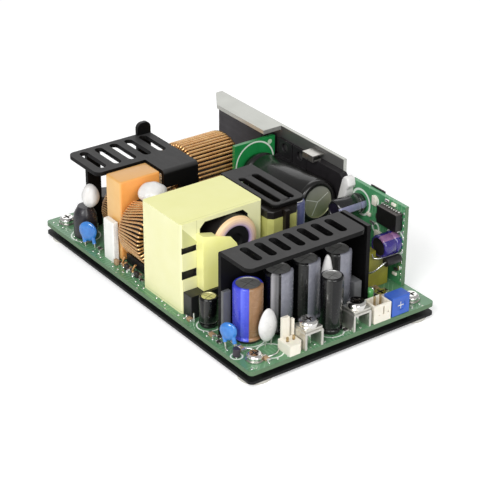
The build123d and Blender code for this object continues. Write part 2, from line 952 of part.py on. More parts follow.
def terminals():
    save("terminal_brackets", group(terminal_bracket(y) for y in terminal_places))
    save("terminal_clamps", group(terminal_clamp(y) for y in terminal_places))
    seat = board_top + terminal_height + clamp_thickness
    screws = [
        pan_screw(terminal_x, y, seat, terminal_height, terminal_head_radius, terminal_head_height)
        for y in terminal_places
    ]
    save("terminal_screws", group(screws))


# Trimmer body and its turning adjuster


def trimmer():
    y = trimmer_centre_y
    half = trimmer_width / 2
    axis_z = board_top + trimmer_height / 2
    body = block(trimmer_face - trimmer_depth, trimmer_face, y - half, y + half, 0, trimmer_height)
    body = chamfer(body.edges().group_by(Axis.X)[-1], 0.3)
    tip = trimmer_face - rotor_recess
    bottom = tip - rotor_length - loose_fit
    body -= rod(rotor_radius + rotor_gap, trimmer_depth, (bottom, y, axis_z), (1, 0, 0))
    save("trimmer_body", body)
    rotor = rod(rotor_radius, rotor_length, (tip - rotor_length, y, axis_z), (1, 0, 0))
    slot_length = 2 * rotor_radius - 0.6
    rotor -= cross_cut(slot_length, rotor_slot, rotor_slot_depth, (tip, y, axis_z), (1, 0, 0))
    save("trimmer_rotor", rotor)


# Power devices on the heatsinks


def tab_device(x, y, foot, facing):
    # A tab package with three leads; x, y is the middle of its tab's back face
    half = device_width / 2
    outline = Rectangle(device_width, device_tab_height, align=(Align.CENTER, Align.MIN))
    outline -= Pos(0, device_hole_height) * Circle(device_hole)
    tab = extrude(Plane.XZ * outline, device_tab)
    case = Pos(0, -(device_tab + device_thickness) / 2, device_case_height / 2) * Box(
        device_width, device_thickness - device_tab, device_case_height
    )
    body = tab + case
    for side in (-1, 0, 1):
        lead = Box(lead_width, lead_thickness, foot, align=(Align.CENTER, Align.CENTER, Align.MAX))
        body += Pos(side * lead_pitch, -device_thickness / 2, 0) * lead
    return Pos(x, y, board_top + foot) * Rot(0, 0, facing) * body


def bridge():
    front = side_face - device_thickness
    body = wall_shape(bridge_outline, front, side_face)
    low = bridge_outline[0][1]
    for index in range(bridge_leads):
        x = bridge_lead_first + index * bridge_lead_pitch
        body += block(x, x + lead_width, front + 1.0, front + 1.0 + lead_thickness, 0, low)
    return body


def bridge_clip():
    # A strip through the side plate, folded down onto the rectifier's top
    rest = bridge_outline[-1][1]
    low = clip_height - clip_sheet
    clip = block(clip_left, clip_right, clip_front, side_back, low, clip_height)
    clip += block(clip_left, clip_right, clip_front, clip_front + clip_sheet, rest, clip_height)
    return clip + block(clip_left, clip_right, clip_front, clip_foot_end, rest, rest + clip_sheet)


def power_devices():
    save("boost_transistors", group(tab_device(x, side_face, boost_foot, 0) for x in boost_places))
    save("bridge_rectifier", bridge())
    save("bridge_clip", bridge_clip())
    wall = primary_front + primary_depth - sheet
    save("primary_transistors", group(tab_device(x, wall, primary_foot, 0) for x in primary_places))
    save("output_rectifiers", group(tab_device(output_wall, y, output_foot, -90) for y in rectifier_places))


# Control board and the parts on and behind it


def control():
    board = block(control_left, control_right, control_face, control_back, 0, control_height)
    save("control_board", board)
    save("control_capacitor", drum(*control_capacitor_size, lying(*control_capacitor_at)))
    save("violet_capacitor", drum(*violet_capacitor_size, lying(*violet_capacitor_at)))
    chip = block(*chip_span, control_face - chip_thickness, control_face, *chip_rise)
    rear_chip = block(*rear_chip_span, control_back, control_back + rear_chip_thickness, *rear_chip_rise)
    save("control_chips", group([chip, rear_chip]))
    x, height = diode_at
    start, end = diode_reach
    diode = rod(diode_radius, end - start, (x, start, board_top + height), (0, 1, 0))
    diode += rod(diode_lead, control_face - start, (x, start, board_top + height), (0, 1, 0))
    save("control_diode", diode)
    x0, x1, y0, y1 = standby_footprint
    standby = block(x0, x1, y0, y1, 0, standby_height)
    save("standby_transformer", standby + block(x0, x1, y0, standby_step, 0, standby_top))


# Small parts on the main board


def drive_transformer():
    # A core frame standing across its taped coil
    y0, y1 = drive_core_y
    core = block(*drive_core_x, y0, y1, 0, drive_core_height)
    coil_left, coil_right = drive_coil_x
    window_top = drive_core_height - drive_core_bar
    edges = (coil_left - turn_gap, coil_right + turn_gap)
    save("drive_transformer_core", core - block(*edges, y0, y1, drive_core_base, window_top))
    coil = block(coil_left, coil_right, *drive_coil_y, drive_core_base, drive_coil_height)
    coil = chamfer(coil.edges().filter_by(Axis.Z).group_by(Axis.X)[-1], drive_coil_corner)
    notch = block(*edges, y0 - turn_gap, y1 + turn_gap, window_top - turn_gap, drive_core_height)
    save("drive_transformer_coil", coil - notch)


def small_parts():
    x, y = led_place
    led = rod(led_radius, led_height, (x, y, board_top)) + rod(led_flange, 1.0, (x, y, board_top))
    save("status_led", led + Pos(x, y, board_top + led_height) * Sphere(led_radius))
    save("snubber_capacitor", soft_block(snubber_footprint, 0, snubber_height, moulded_edge))
    save("heatsink_sensor", block(*sensor_footprint, 0, sensor_height))
    x0, x1 = bead_thermistor_x
    bead = cross_wall_shape(bead_thermistor_outline, x0, x1)
    for y in bead_thermistor_leads:
        bead += rod(disc_lead, bead_thermistor_outline[2][1], ((x0 + x1) / 2, y, board_top))
    save("bead_thermistor", bead)


def lump(x, y, low, high, radius):
    # A soft mound of sealant
    rise = high - low
    points = [(0, 0), (radius * 0.7, 0), (radius, rise * 0.35), (radius * 0.8, rise * 0.75), (0, rise)]
    return turned(points, Pos(x, y, board_top + low))


def sealant():
    lumps = [lump(*place) for place in (thermistor_lump, choke_lump, terminal_lump)]
    lumps.append(wall_shape(slab_outline, slab_front, control_face))
    save("sealant", group(lumps))


base_stack()
heatsinks()
transformer()
inductors()
capacitors()
bulk_capacitor()
input_parts()
headers()
terminals()
trimmer()
power_devices()
control()
drive_transformer()
small_parts()
sealant()
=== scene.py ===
import bmesh
import bpy
import math
from mathutils import Matrix, Vector


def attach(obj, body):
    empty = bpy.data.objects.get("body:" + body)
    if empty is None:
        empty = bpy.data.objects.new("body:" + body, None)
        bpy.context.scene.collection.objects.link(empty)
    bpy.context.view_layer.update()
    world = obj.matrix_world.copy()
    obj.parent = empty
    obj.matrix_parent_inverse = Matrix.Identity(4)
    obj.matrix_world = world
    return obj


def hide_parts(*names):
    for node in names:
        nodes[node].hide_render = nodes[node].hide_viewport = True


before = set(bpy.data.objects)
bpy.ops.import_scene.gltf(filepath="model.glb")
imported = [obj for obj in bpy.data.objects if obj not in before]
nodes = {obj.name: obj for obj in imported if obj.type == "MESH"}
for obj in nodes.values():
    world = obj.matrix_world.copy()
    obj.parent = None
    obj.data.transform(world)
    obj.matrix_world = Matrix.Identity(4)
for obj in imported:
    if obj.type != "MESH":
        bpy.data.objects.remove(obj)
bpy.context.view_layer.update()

# Every size below is in millimetres; heights named high or low start at the board
mm = 0.001
perMetre = 1000.0
boardTop = 6.0
print("frame loaded")


# Colours, shader sums and finishes


def rgb(red, green, blue):
    # Screen colour from 0 to 255 as the linear colour that a shader takes
    parts = [part / 255 for part in (red, green, blue)]
    return tuple(part / 12.92 if part < 0.04 else ((part + 0.055) / 1.055) ** 2.4 for part in parts) + (1.0,)


pureWhite = rgb(255, 255, 255)
pureBlack = rgb(0, 0, 0)


class Value:
    # A socket that takes part in Python sums
    def __init__(self, finish, socket):
        self.finish = finish
        self.socket = socket

    def math(self, operation, first, second=None):
        inputs = {0: first} if second is None else {0: first, 1: second}
        return self.finish.node("ShaderNodeMath", {"operation": operation}, inputs)

    def __add__(self, other):
        return self.math("ADD", self, other)

    def __radd__(self, other):
        return self.math("ADD", other, self)

    def __sub__(self, other):
        return self.math("SUBTRACT", self, other)

    def __rsub__(self, other):
        return self.math("SUBTRACT", other, self)

    def __mul__(self, other):
        return self.math("MULTIPLY", self, other)

    def __rmul__(self, other):
        return self.math("MULTIPLY", other, self)

    def __truediv__(self, other):
        return self.math("DIVIDE", self, other)

    def __gt__(self, other):
        return self.math("GREATER_THAN", self, other)

    def __lt__(self, other):
        return self.math("LESS_THAN", self, other)

    def __abs__(self):
        return self.math("ABSOLUTE", self)

    def within(self, low, high):
        return (self > low) * (self < high)

    def wave(self):
        return self.math("SINE", self)

    def part(self):
        return self.math("FRACT", self)

    def root(self):
        return self.math("SQRT", self)

    def atLeast(self, other):
        return self.math("MAXIMUM", self, other)

    def kept(self):
        # Held between 0 and 1
        return self.math("MINIMUM", self.math("MAXIMUM", self, 0.0), 1.0)


class Finish:
    # One material: a Principled shader and the nodes that vary it
    def __init__(self, name, colour, rough, metal=0.0, **more):
        self.material = bpy.data.materials.new(name)
        self.material.use_nodes = True
        self.tree = self.material.node_tree
        self.shader = self.tree.nodes["Principled BSDF"]
        self.set("Base Color", colour)
        self.set("Roughness", rough)
        self.set("Metallic", metal)
        for socket, value in more.items():
            self.set(socket.replace("_", " "), value)
        self.place = self.node("ShaderNodeTexCoord", {}, {}, "Object")
        parts = self.node("ShaderNodeSeparateXYZ", {}, {0: self.place})
        self.x = Value(self, parts.socket.node.outputs[0]) * perMetre
        self.y = Value(self, parts.socket.node.outputs[1]) * perMetre
        self.high = Value(self, parts.socket.node.outputs[2]) * perMetre - boardTop

    def node(self, kind, settings, inputs, output=0):
        made = self.tree.nodes.new(kind)
        for key, value in settings.items():
            if key == "stops":
                ramp = made.color_ramp
                for index, (at, colour) in enumerate(value):
                    stop = ramp.elements[index] if index < 2 else ramp.elements.new(at)
                    stop.position = at
                    stop.color = colour
            else:
                setattr(made, key, value)
        for key, value in inputs.items():
            self.feed(made.inputs[key], value)
        return Value(self, made.outputs[output])

    def feed(self, socket, value):
        if isinstance(value, Value):
            self.tree.links.new(value.socket, socket)
        else:
            socket.default_value = value

    def set(self, socket, value):
        self.feed(self.shader.inputs[socket], value)

    def blend(self, mask, first, second):
        settings = {"data_type": "RGBA", "clamp_factor": True}
        return self.node("ShaderNodeMix", settings, {0: mask, 6: first, 7: second}, 2)

    def stretched(self, across, along, up):
        # Object coordinates scaled along each axis, for grain that runs one way
        return self.node("ShaderNodeMapping", {}, {0: self.place, "Scale": (across, along, up)})

    def noise(self, size, detail=2.0, place=None):
        inputs = {"Vector": place or self.place, "Scale": perMetre / size, "Detail": detail}
        return self.node("ShaderNodeTexNoise", {}, inputs)

    def cells(self, size, output="Distance", metric="EUCLIDEAN"):
        inputs = {"Vector": self.place, "Scale": perMetre / size}
        return self.node("ShaderNodeTexVoronoi", {"distance": metric}, inputs, output)

    def facing(self, axis):
        # How much the surface faces along one axis, from -1 to 1
        normal = self.node("ShaderNodeNewGeometry", {}, {}, "Normal")
        parts = self.node("ShaderNodeSeparateXYZ", {}, {0: normal})
        return Value(self, parts.socket.node.outputs["XYZ".index(axis)])

    def bump(self, height, depth, strength=1.0):
        inputs = {"Height": height, "Distance": depth * mm, "Strength": strength}
        self.set("Normal", self.node("ShaderNodeBump", {}, inputs))

    def colour(self, value):
        self.set("Base Color", value)

    def vary(self, size, darker, lighter, rough):
        # Soft clouds between two tones, and finer ones of gloss
        self.tone = self.blend(self.noise(size, 3.0), darker, lighter)
        self.colour(self.tone)
        self.set("Roughness", self.noise(size * 0.6, 3.0) * (rough[1] - rough[0]) + rough[0])
        return self.tone


def reach(across, along):
    # Distance from an axis
    return (across * across + along * along).root()


def degreesAbout(across, along):
    # Angle about an axis, from -180 to 180
    return across.math("ARCTAN2", along, across) * (180 / math.pi)


def plainFinish(name, darker, lighter, rough, metal=0.0, size=3.0, grain=0.4, depth=0.01, **more):
    # Moulded, painted or plated surface with clouds of tone and fine grain
    finish = Finish(name, lighter, rough[0], metal, **more)
    finish.vary(size, darker, lighter, rough)
    finish.bump(finish.noise(grain, 3.0), depth)
    return finish


# Shapes made with bmesh operators


class Form:
    # A mesh that grows part by part, in millimetres, each part with its own material slot
    def __init__(self):
        self.mesh = bmesh.new()

    def mark(self, before, slot):
        for face in self.mesh.faces:
            if face not in before:
                face.material_index = slot

    def box(self, x0, x1, y0, y1, low, high, edge, slot=0, segments=2):
        before = set(self.mesh.faces)
        centre = Vector(((x0 + x1) / 2, (y0 + y1) / 2, (low + high) / 2 + boardTop))
        place = Matrix.Translation(centre) @ Matrix.Diagonal((x1 - x0, y1 - y0, high - low, 1.0))
        made = bmesh.ops.create_cube(self.mesh, size=1.0, matrix=place)["verts"]
        self.round(list({line for vert in made for line in vert.link_edges}), edge, segments)
        self.mark(before, slot)

    def round(self, edges, width, segments):
        bmesh.ops.bevel(
            self.mesh, geom=edges, offset=width, segments=segments, profile=0.5,
            affect="EDGES", material=-1, clamp_overlap=True,
        )

    def turned(self, points, at, axis=(0, 0, 1), steps=40, slots=None):
        # Spin a profile of radius and height about an axis; slots gives the slot at a radius and height
        before = set(self.mesh.faces)
        verts = [self.mesh.verts.new((radius, 0, height)) for radius, height in points]
        lines = [self.mesh.edges.new(pair) for pair in zip(verts, verts[1:])]
        bmesh.ops.spin(
            self.mesh, geom=verts + lines, cent=(0, 0, 0), axis=(0, 0, 1),
            angle=2 * math.pi, steps=steps, use_merge=True,
        )
        fresh = [face for face in self.mesh.faces if face not in before]
        if slots:
            for face in fresh:
                middle = face.calc_center_median()
                face.material_index = slots(math.hypot(middle.x, middle.y), middle.z)
        made = list({vert for face in fresh for vert in face.verts})
        turn = Vector((0, 0, 1)).rotation_difference(Vector(axis).normalized()).to_matrix().to_4x4()
        place = Matrix.Translation(Vector(at) + Vector((0, 0, boardTop))) @ turn
        bmesh.ops.transform(self.mesh, matrix=place, verts=made)

    def slab(self, points, thick, edge, segments, plane):
        # An outline drawn flat, given a thickness and then stood in its plane
        face = self.mesh.faces.new([self.mesh.verts.new((x, y, 0.0)) for x, y in points])
        grown = bmesh.ops.extrude_face_region(self.mesh, geom=[face])["geom"]
        lifted = [item for item in grown if isinstance(item, bmesh.types.BMVert)]
        bmesh.ops.translate(self.mesh, vec=(0, 0, thick), verts=lifted)
        self.round(list(self.mesh.edges), edge, segments)
        place = Matrix.Translation((0, 0, boardTop)) @ plane
        bmesh.ops.transform(self.mesh, matrix=place, verts=self.mesh.verts)

    def wire(self, points, radius, slot=0, smooth=3, sides=2):
        # A round wire along a smooth spline, made a mesh and added
        before = set(self.mesh.faces)
        data = bpy.data.curves.new("wireDraft", "CURVE")
        data.dimensions = "3D"
        data.bevel_depth = radius
        data.bevel_resolution = sides
        data.use_fill_caps = True
        data.resolution_u = smooth
        spline = data.splines.new("NURBS")
        spline.points.add(len(points) - 1)
        for knot, point in zip(spline.points, points):
            knot.co = (point[0], point[1], point[2] + boardTop, 1.0)
        spline.order_u = 3
        spline.use_endpoint_u = True
        draft = bpy.data.objects.new("wireDraft", data)
        mesh = bpy.data.meshes.new_from_object(draft)
        self.mesh.from_mesh(mesh)
        bpy.data.objects.remove(draft)
        bpy.data.curves.remove(data)
        bpy.data.meshes.remove(mesh)
        self.mark(before, slot)

    def ball(self, at, size, detail, slot=0, turn=None):
        before = set(self.mesh.faces)
        place = Matrix.Translation(Vector(at) + Vector((0, 0, boardTop)))
        place = place @ (turn or Matrix.Identity(4)) @ Matrix.Diagonal((*size, 1.0))
        made = bmesh.ops.create_icosphere(self.mesh, subdivisions=detail, radius=1.0, matrix=place)["verts"]
        self.mark(before, slot)
        return made

    def piece(self, name, finishes, body="supply", smooth=40, stands=()):
        bmesh.ops.remove_doubles(self.mesh, verts=self.mesh.verts, dist=0.0005)
        bmesh.ops.recalc_face_normals(self.mesh, faces=self.mesh.faces)
        bmesh.ops.scale(self.mesh, vec=(mm, mm, mm), verts=self.mesh.verts)
        data = bpy.data.meshes.new(name)
        self.mesh.to_mesh(data)
        self.mesh.free()
        data.shade_smooth()
        data.set_sharp_from_angle(angle=math.radians(smooth))
        for finish in finishes:
            data.materials.append(finish.material)
        made = bpy.data.objects.new(name, data)
        bpy.context.scene.collection.objects.link(made)
        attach(made, body)
        if stands:
            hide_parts(*stands)
        return made


softEdge = {"weldWithin": 1e-6, "sharperThan": 35}


def dress(name, finish, edge=0.0, segments=2):
    # A CAD node keeps its shape and gets its finish and soft edges
    shown = nodes[name]
    for slot in shown.material_slots:
        slot.material = finish.material
    if edge:
        weld = shown.modifiers.new("weld", "WELD")
        weld.merge_threshold = softEdge["weldWithin"]
        soft = shown.modifiers.new("edges", "BEVEL")
        soft.width = edge * mm
        soft.segments = segments
        soft.limit_method = "ANGLE"
        soft.angle_limit = math.radians(softEdge["sharperThan"])
        soft.harden_normals = True


# Camera, floor and light

# Angles in degrees, distance and shifts in millimetres, focal length and frame in pixels
camera = {
    "azimuth": 54.021, "elevation": 27.809, "roll": 0.27, "distance": 574.077, "focal": 1632.672,
    "right": 2.961, "up": 11.063, "lift": 1.2, "frame": 480, "sensor": 36.0, "near": 0.01, "far": 20.0,
}


def makeCamera():
    turn, rise = math.radians(camera["azimuth"]), math.radians(camera["elevation"])
    back = Vector((math.sin(turn) * math.cos(rise), -math.cos(turn) * math.cos(rise), math.sin(rise)))
    right = Vector((math.cos(turn), math.sin(turn), 0.0))
    up = back.cross(right)
    roll = math.radians(camera["roll"])
    tiltedRight = right * math.cos(roll) + up * math.sin(roll)
    tiltedUp = up * math.cos(roll) - right * math.sin(roll)
    spot = back * camera["distance"] + tiltedRight * camera["right"] + tiltedUp * camera["up"]
    spot.z += camera["lift"]
    data = bpy.data.cameras.new("camera")
    data.sensor_width = camera["sensor"]
    data.lens = camera["focal"] / camera["frame"] * camera["sensor"]
    data.clip_start, data.clip_end = camera["near"], camera["far"]
    made = bpy.data.objects.new("camera", data)
    axes = Matrix((tiltedRight, tiltedUp, back)).transposed().to_4x4()
    made.matrix_world = Matrix.Translation(spot * mm) @ axes
    bpy.context.scene.collection.objects.link(made)
    bpy.context.scene.camera = made


studio = {
    "sky": 0.42, "seenSky": 1.0, "paper": (0.9, 0.9, 0.9, 1.0), "paperRough": 0.9, "floorGlow": 0.3,
    "floorHalf": 4.0,
}
lamps = {
    "keyLamp": {"at": (0.34, -0.62, 0.56), "power": 4.7, "size": 0.4},
    "fillLamp": {"at": (0.8, -0.15, 0.45), "power": 3.3, "size": 0.45},
    "backLamp": {"at": (-0.85, 0.62, 0.62), "power": 2.4, "size": 0.9},
}


def makeStudio():
    scene = bpy.context.scene
    scene.view_settings.view_transform = "Standard"
    world = bpy.data.worlds.new("studio")
    scene.world = world
    world.use_nodes = True
    tree = world.node_tree
    light = tree.nodes["Background"]
    seen = tree.nodes.new("ShaderNodeBackground")
    for shader, strength in ((light, studio["sky"]), (seen, studio["seenSky"])):
        shader.inputs["Color"].default_value = pureWhite
        shader.inputs["Strength"].default_value = strength
    path = tree.nodes.new("ShaderNodeLightPath")
    either = tree.nodes.new("ShaderNodeMath")
    either.operation = "MAXIMUM"
    mix = tree.nodes.new("ShaderNodeMixShader")
    for start, end in (
        (path.outputs["Is Camera Ray"], either.inputs[0]),
        (path.outputs["Is Transmission Ray"], either.inputs[1]),
        (either.outputs[0], mix.inputs[0]),
        (light.outputs[0], mix.inputs[1]),
        (seen.outputs[0], mix.inputs[2]),
        (mix.outputs[0], tree.nodes["World Output"].inputs["Surface"]),
    ):
        tree.links.new(start, end)
    for name, spec in lamps.items():
        lamp = bpy.data.lights.new(name, "AREA")
        lamp.energy = spec["power"]
        lamp.size = spec["size"]
        made = bpy.data.objects.new(name, lamp)
        made.location = spec["at"]
        made.rotation_mode = "QUATERNION"
        made.rotation_quaternion = (-Vector(spec["at"])).to_track_quat("-Z", "Y")
        scene.collection.objects.link(made)


def makeFloor():
    # Pale paper that shows white to the camera and keeps the shadow
    finish = Finish("palePaper", studio["paper"], studio["paperRough"])
    path = finish.node("ShaderNodeLightPath", {}, {}, "Is Camera Ray")
    finish.set("Emission Strength", studio["floorGlow"])
    finish.set("Emission Color", finish.blend(path, pureBlack, pureWhite))
    mesh = bmesh.new()
    bmesh.ops.create_grid(mesh, x_segments=1, y_segments=1, size=studio["floorHalf"])
    data = bpy.data.meshes.new("floor")
    mesh.to_mesh(data)
    mesh.free()
    data.materials.append(finish.material)
    floor = bpy.data.objects.new("floor", data)
    bpy.context.scene.collection.objects.link(floor)


makeCamera()
makeStudio()
makeFloor()
print("camera, light and floor made")


# Boards


boardLook = {
    "cloud": 9.0, "patch": 6.5, "rows": 1.3, "columns": 1.5, "slants": 2.1, "holes": 3.4,
    "trace": rgb(142, 184, 146), "tinned": rgb(206, 204, 188), "silk": rgb(226, 236, 226),
    "cutEdge": rgb(86, 116, 84), "silkHalf": 0.26, "uprightSilkHalf": 0.4,
}


def boardFinish(name, dark, light, silk, upright=False):
    # Solder mask with traces that run in patches, tinned vias, printed rings and a duller cut edge
    look = boardLook
    finish = Finish(name, light, 0.3, 0.0, Coat_Weight=0.25)
    tone = finish.blend(finish.noise(look["cloud"], 3.0), dark, light)
    patches = finish.cells(look["patch"], "Color", "CHEBYCHEV")
    patch = finish.node("ShaderNodeSeparateColor", {}, {0: patches})
    rows = abs((finish.y / look["rows"]).part() - 0.5) < 0.11
    columns = abs((finish.x / look["columns"]).part() - 0.5) < 0.1
    slants = abs(((finish.x + finish.y) / look["slants"]).part() - 0.5) < 0.08
    trace = rows * patch.within(0.1, 0.4) + columns * patch.within(0.5, 0.75) + slants * (patch > 0.86)
    trace = trace.kept()
    tone = finish.blend(trace, tone, finish.blend(0.55, tone, look["trace"]))
    pick = finish.node("ShaderNodeSeparateColor", {}, {0: finish.cells(look["holes"], "Color")}, 1)
    via = (finish.cells(look["holes"]) < 0.1) * (pick > 0.62)
    tone = finish.blend(via, tone, look["tinned"])
    up = finish.high if upright else finish.y
    for x, y, radius in silk:
        ring = abs(reach(finish.x - x, up - y) - radius) < look["uprightSilkHalf" if upright else "silkHalf"]
        tone = finish.blend(ring, tone, look["silk"])
    edge = abs(finish.facing("X")) > 0.5 if upright else abs(finish.facing("Z")) < 0.5
    finish.colour(finish.blend(edge, tone, look["cutEdge"]))
    finish.set("Roughness", 0.24 + finish.noise(2.0) * 0.16 + edge * 0.3)
    finish.bump(trace * 0.5 + via + finish.noise(0.5) * 0.2, 0.03)
    return finish


# Printed rings at x and y, with their radius
boardSilk = (
    (32.1, -32.2, 3.9), (57.6, -1.9, 4.6), (56.6, -25.4, 4.4), (46.0, -26.6, 5.7),
    (-45.3, -32.0, 5.2), (53.0, -36.0, 1.9), (-57.6, -16.0, 5.0), (51.1, 19.6, 2.6),
)
mainBoard = boardFinish("greenMask", rgb(72, 120, 82), rgb(106, 154, 114), boardSilk)
dress("circuit_board", mainBoard, 0.12)
blackSheet = plainFinish(
    "blackSheet", rgb(14, 14, 15), rgb(30, 30, 31), (0.45, 0.62),
    size=6.0, depth=0.02, Specular_IOR_Level=0.25,
)
dress("base_plate", blackSheet, 0.15)

# Metals

zinc = plainFinish("zincPlate", rgb(176, 174, 168), rgb(214, 212, 206), (0.22, 0.4), 1.0, size=1.2)
tin = plainFinish("tinPlate", rgb(196, 194, 186), rgb(226, 224, 216), (0.28, 0.42), 0.9, size=1.5)
nickel = plainFinish("brightNickel", rgb(222, 220, 216), rgb(250, 248, 245), (0.08, 0.2), 1.0, size=0.9)
dress("corner_standoffs", tin, 0.1)
dress("corner_washers", zinc, 0.08)
# The flat bottoms of the screws' slots, by their height over the board; they are painted dark, a painted
# shade in the slots
slotBottoms = {"levels": ((0.7, 1.1), (1.2, 1.6), (8.2, 8.6)), "tone": rgb(44, 38, 34)}
slotShade = sum(nickel.high.within(*level) for level in slotBottoms["levels"])
slotShade = slotShade.kept() * (nickel.facing("Z") > 0.9)
nickel.colour(nickel.blend(slotShade, nickel.tone, slotBottoms["tone"]))
dress("board_screws", nickel, 0.12)
dress("terminal_screws", nickel, 0.14)
dress("terminal_brackets", tin, 0.15)
dress("terminal_clamps", tin, 0.12)
dress("bridge_clip", zinc, 0.1)


# Screen level of each heatsink's top, a painted sheen that makes it lighter than its sides
sinks = {"input_heatsink": 60, "primary_heatsink": 59, "output_heatsink": 62}


def blackMetalFinish(name, top):
    # Black anodised sheet with fine directional grain; its top is lighter as a painted sheen and its sides
    # near-black as painted shade, both mottled
    finish = Finish(name, rgb(20, 20, 21), 0.5, 0.0, Specular_IOR_Level=0.14)
    dust = finish.noise(5.0, 4.0)
    grain = finish.noise(0.6, 3.0, finish.stretched(0.15, 1.0, 1.0))
    # Near-black sides are painted shade; the lighter top tone below is a painted sheen
    side = finish.blend(dust, rgb(3, 3, 3), rgb(10, 9, 10))
    paintedTopSheen = finish.blend(dust, rgb(top - 12, top - 12, top - 11), rgb(top + 6, top + 5, top + 5))
    lift = finish.facing("Z").kept()
    tone = finish.blend(lift, side, paintedTopSheen)
    finish.colour(finish.blend(grain * (lift * 0.26 + 0.04), tone, rgb(top + 12, top + 11, top + 10)))
    finish.set("Roughness", 0.4 + grain * 0.2)
    finish.bump(grain, 0.012)
    return finish


for sink, top in sinks.items():
    dress(sink, blackMetalFinish(sink + "Black", top), 0.3, 3)


# The shaded inner face lies between two depths and pales from its dark end
plate = {"inner": (36.0, 36.6), "darkEnd": -30.0, "fade": 34.0}


def aluminiumFinish():
    finish = Finish("brushedAluminium", rgb(196, 196, 192), 0.42, 0.85)
    grain = finish.noise(0.5, 3.0, finish.stretched(0.04, 1.0, 1.0))
    cloud = finish.noise(8.0, 3.0)
    tone = finish.blend(cloud * 0.6 + grain * 0.4, rgb(186, 187, 181), rgb(222, 223, 217))
    shade = (finish.facing("Y") < -0.5) * finish.y.within(*plate["inner"])
    along = ((finish.x - plate["darkEnd"]) / plate["fade"]).kept()
    near = finish.blend(along, rgb(62, 58, 63), rgb(150, 150, 148))
    finish.colour(finish.blend(shade, tone, finish.blend(cloud * 0.4, near, rgb(124, 122, 122))))
    finish.set("Roughness", 0.4 + grain * 0.2)
    finish.bump(grain, 0.01)
    return finish


dress("side_plate", aluminiumFinish(), 0.2, 3)
print("boards and metals dressed")


# Main transformer

# Places on the taped core, in x, y and height where there are three
tape = {
    "face": 21.42, "window": ((8.0, 21.42), (-28.16, -6.3), (7.8, 31.7)),
    "port": ((20.0, 21.4), (-35.2, -29.4)), "portLevels": ((12.7, 15.9), (22.1, 24.5)),
    "pocket": ((-35.0, -29.4), (24.5, 31.4)), "pocketTip": (-29.0, 24.6, 1.1),
    "paintedGlow": 0.26, "paintedGlowTone": rgb(236, 234, 120),
}


def tapeFinish():
    # Pale tape with laps; its windows are painted dark as shade in the recesses, and the pocket over the
    # upper one has painted shade
    finish = Finish("paleTape", rgb(228, 225, 150), 0.38, 0.0, Coat_Weight=0.12)
    x, y, high = finish.x, finish.y, finish.high
    cloud = finish.noise(7.0, 3.0)
    # Tops and sides get their own tones, painted light that differs by face
    topTone = finish.blend(cloud, rgb(229, 228, 146), rgb(237, 236, 166))
    sideTone = finish.blend(cloud, rgb(234, 233, 174), rgb(241, 240, 194))
    tone = finish.blend(finish.facing("Z") > 0.5, sideTone, topTone)
    across, along, up = tape["window"]
    inside = x.within(*across) * y.within(*along) * high.within(*up)
    across, along = tape["port"]
    port = x.within(*across) * y.within(*along) * sum(high.within(*level) for level in tape["portLevels"])
    face = x > tape["face"]
    tipY, tipHigh, lean = tape["pocketTip"]
    along, up = tape["pocket"]
    slope = high - tipHigh + (y - tipY) * lean
    pocket = face * y.within(*along) * high.within(*up) * (slope < 0.4)
    tone = finish.blend(pocket * 0.75, tone, rgb(188, 190, 124))
    lap = face * (abs(y + 29.3) < 0.12) + (abs(y + 34.9) < 0.1) * face
    lap = lap + (abs(high - 0.9) < 0.1) + (abs(x - 20.3) < 0.1) * (high > 32.9)
    tone = finish.blend(lap.kept() * 0.4, tone, rgb(170, 166, 92))
    # The windows and ports are painted near-black, as shade inside the recesses
    dark = (inside + port).kept()
    finish.colour(finish.blend(dark, tone, rgb(24, 22, 20)))
    finish.set("Roughness", 0.32 + finish.noise(3.0) * 0.16 + dark * 0.2)
    wrinkle = finish.noise(5.0, 2.0, finish.stretched(1.0, 1.0, 0.3))
    finish.bump(wrinkle + finish.noise(1.2) * 0.15, 0.18, 0.5)
    return finish


dress("transformer_core", tapeFinish(), 0.45, 3)
# The flap beside the coil gets an emission on its faces towards +X, a painted light that brightens its shaded
# face
yellowTape = Finish("yellowTape", rgb(240, 236, 150), 0.35, 0.0, Coat_Weight=0.15)
yellowTape.set("Emission Strength", tape["paintedGlow"])
yellowTape.set("Emission Color", yellowTape.blend(yellowTape.facing("X").kept(), pureBlack, tape["paintedGlowTone"]))
yellowTape.vary(4.0, rgb(245, 243, 156), rgb(252, 250, 182), (0.28, 0.42))
yellowTape.bump(yellowTape.noise(3.0, 2.0, yellowTape.stretched(1.0, 1.0, 0.25)), 0.15, 0.6)
dress("transformer_tape", yellowTape, 0.2, 3)
blackMoulding = plainFinish("blackMoulding", rgb(20, 20, 21), rgb(34, 34, 35), (0.3, 0.45), grain=0.3)
dress("transformer_bobbin", blackMoulding, 0.2)
dress("transformer_pin_rail", blackMoulding, 0.25)
dress("choke_cradles", blackMoulding, 0.2)


coil = {"back": 10.0, "y": -15.6, "high": 22.3, "bore": 5.6, "wall": 3.4, "darkBehind": 23.3}


def coilFinish():
    # Wound face: rings about the coil's axis, pale outside and lilac by the bore
    finish = Finish("coilFace", rgb(226, 200, 164), 0.4, 0.0, Coat_Weight=0.1)
    radius = reach(finish.y - coil["y"], finish.high - coil["high"])
    ring = (radius * 9.0).wave() * 0.5 + 0.5
    stops = [
        (0.0, rgb(150, 134, 190)), (0.12, rgb(206, 184, 208)), (0.36, rgb(238, 206, 192)),
        (0.7, rgb(246, 214, 170)), (1.0, rgb(238, 200, 150)),
    ]
    out = (radius - coil["bore"]) / coil["wall"]
    tone = finish.node("ShaderNodeValToRGB", {"stops": stops}, {0: out})
    tone = finish.blend(ring * 0.16, tone, rgb(196, 150, 120))
    finish.colour(finish.blend(finish.x < coil["darkBehind"], tone, rgb(22, 19, 17)))
    finish.bump(ring + finish.noise(0.8), 0.05, 0.6)
    return finish


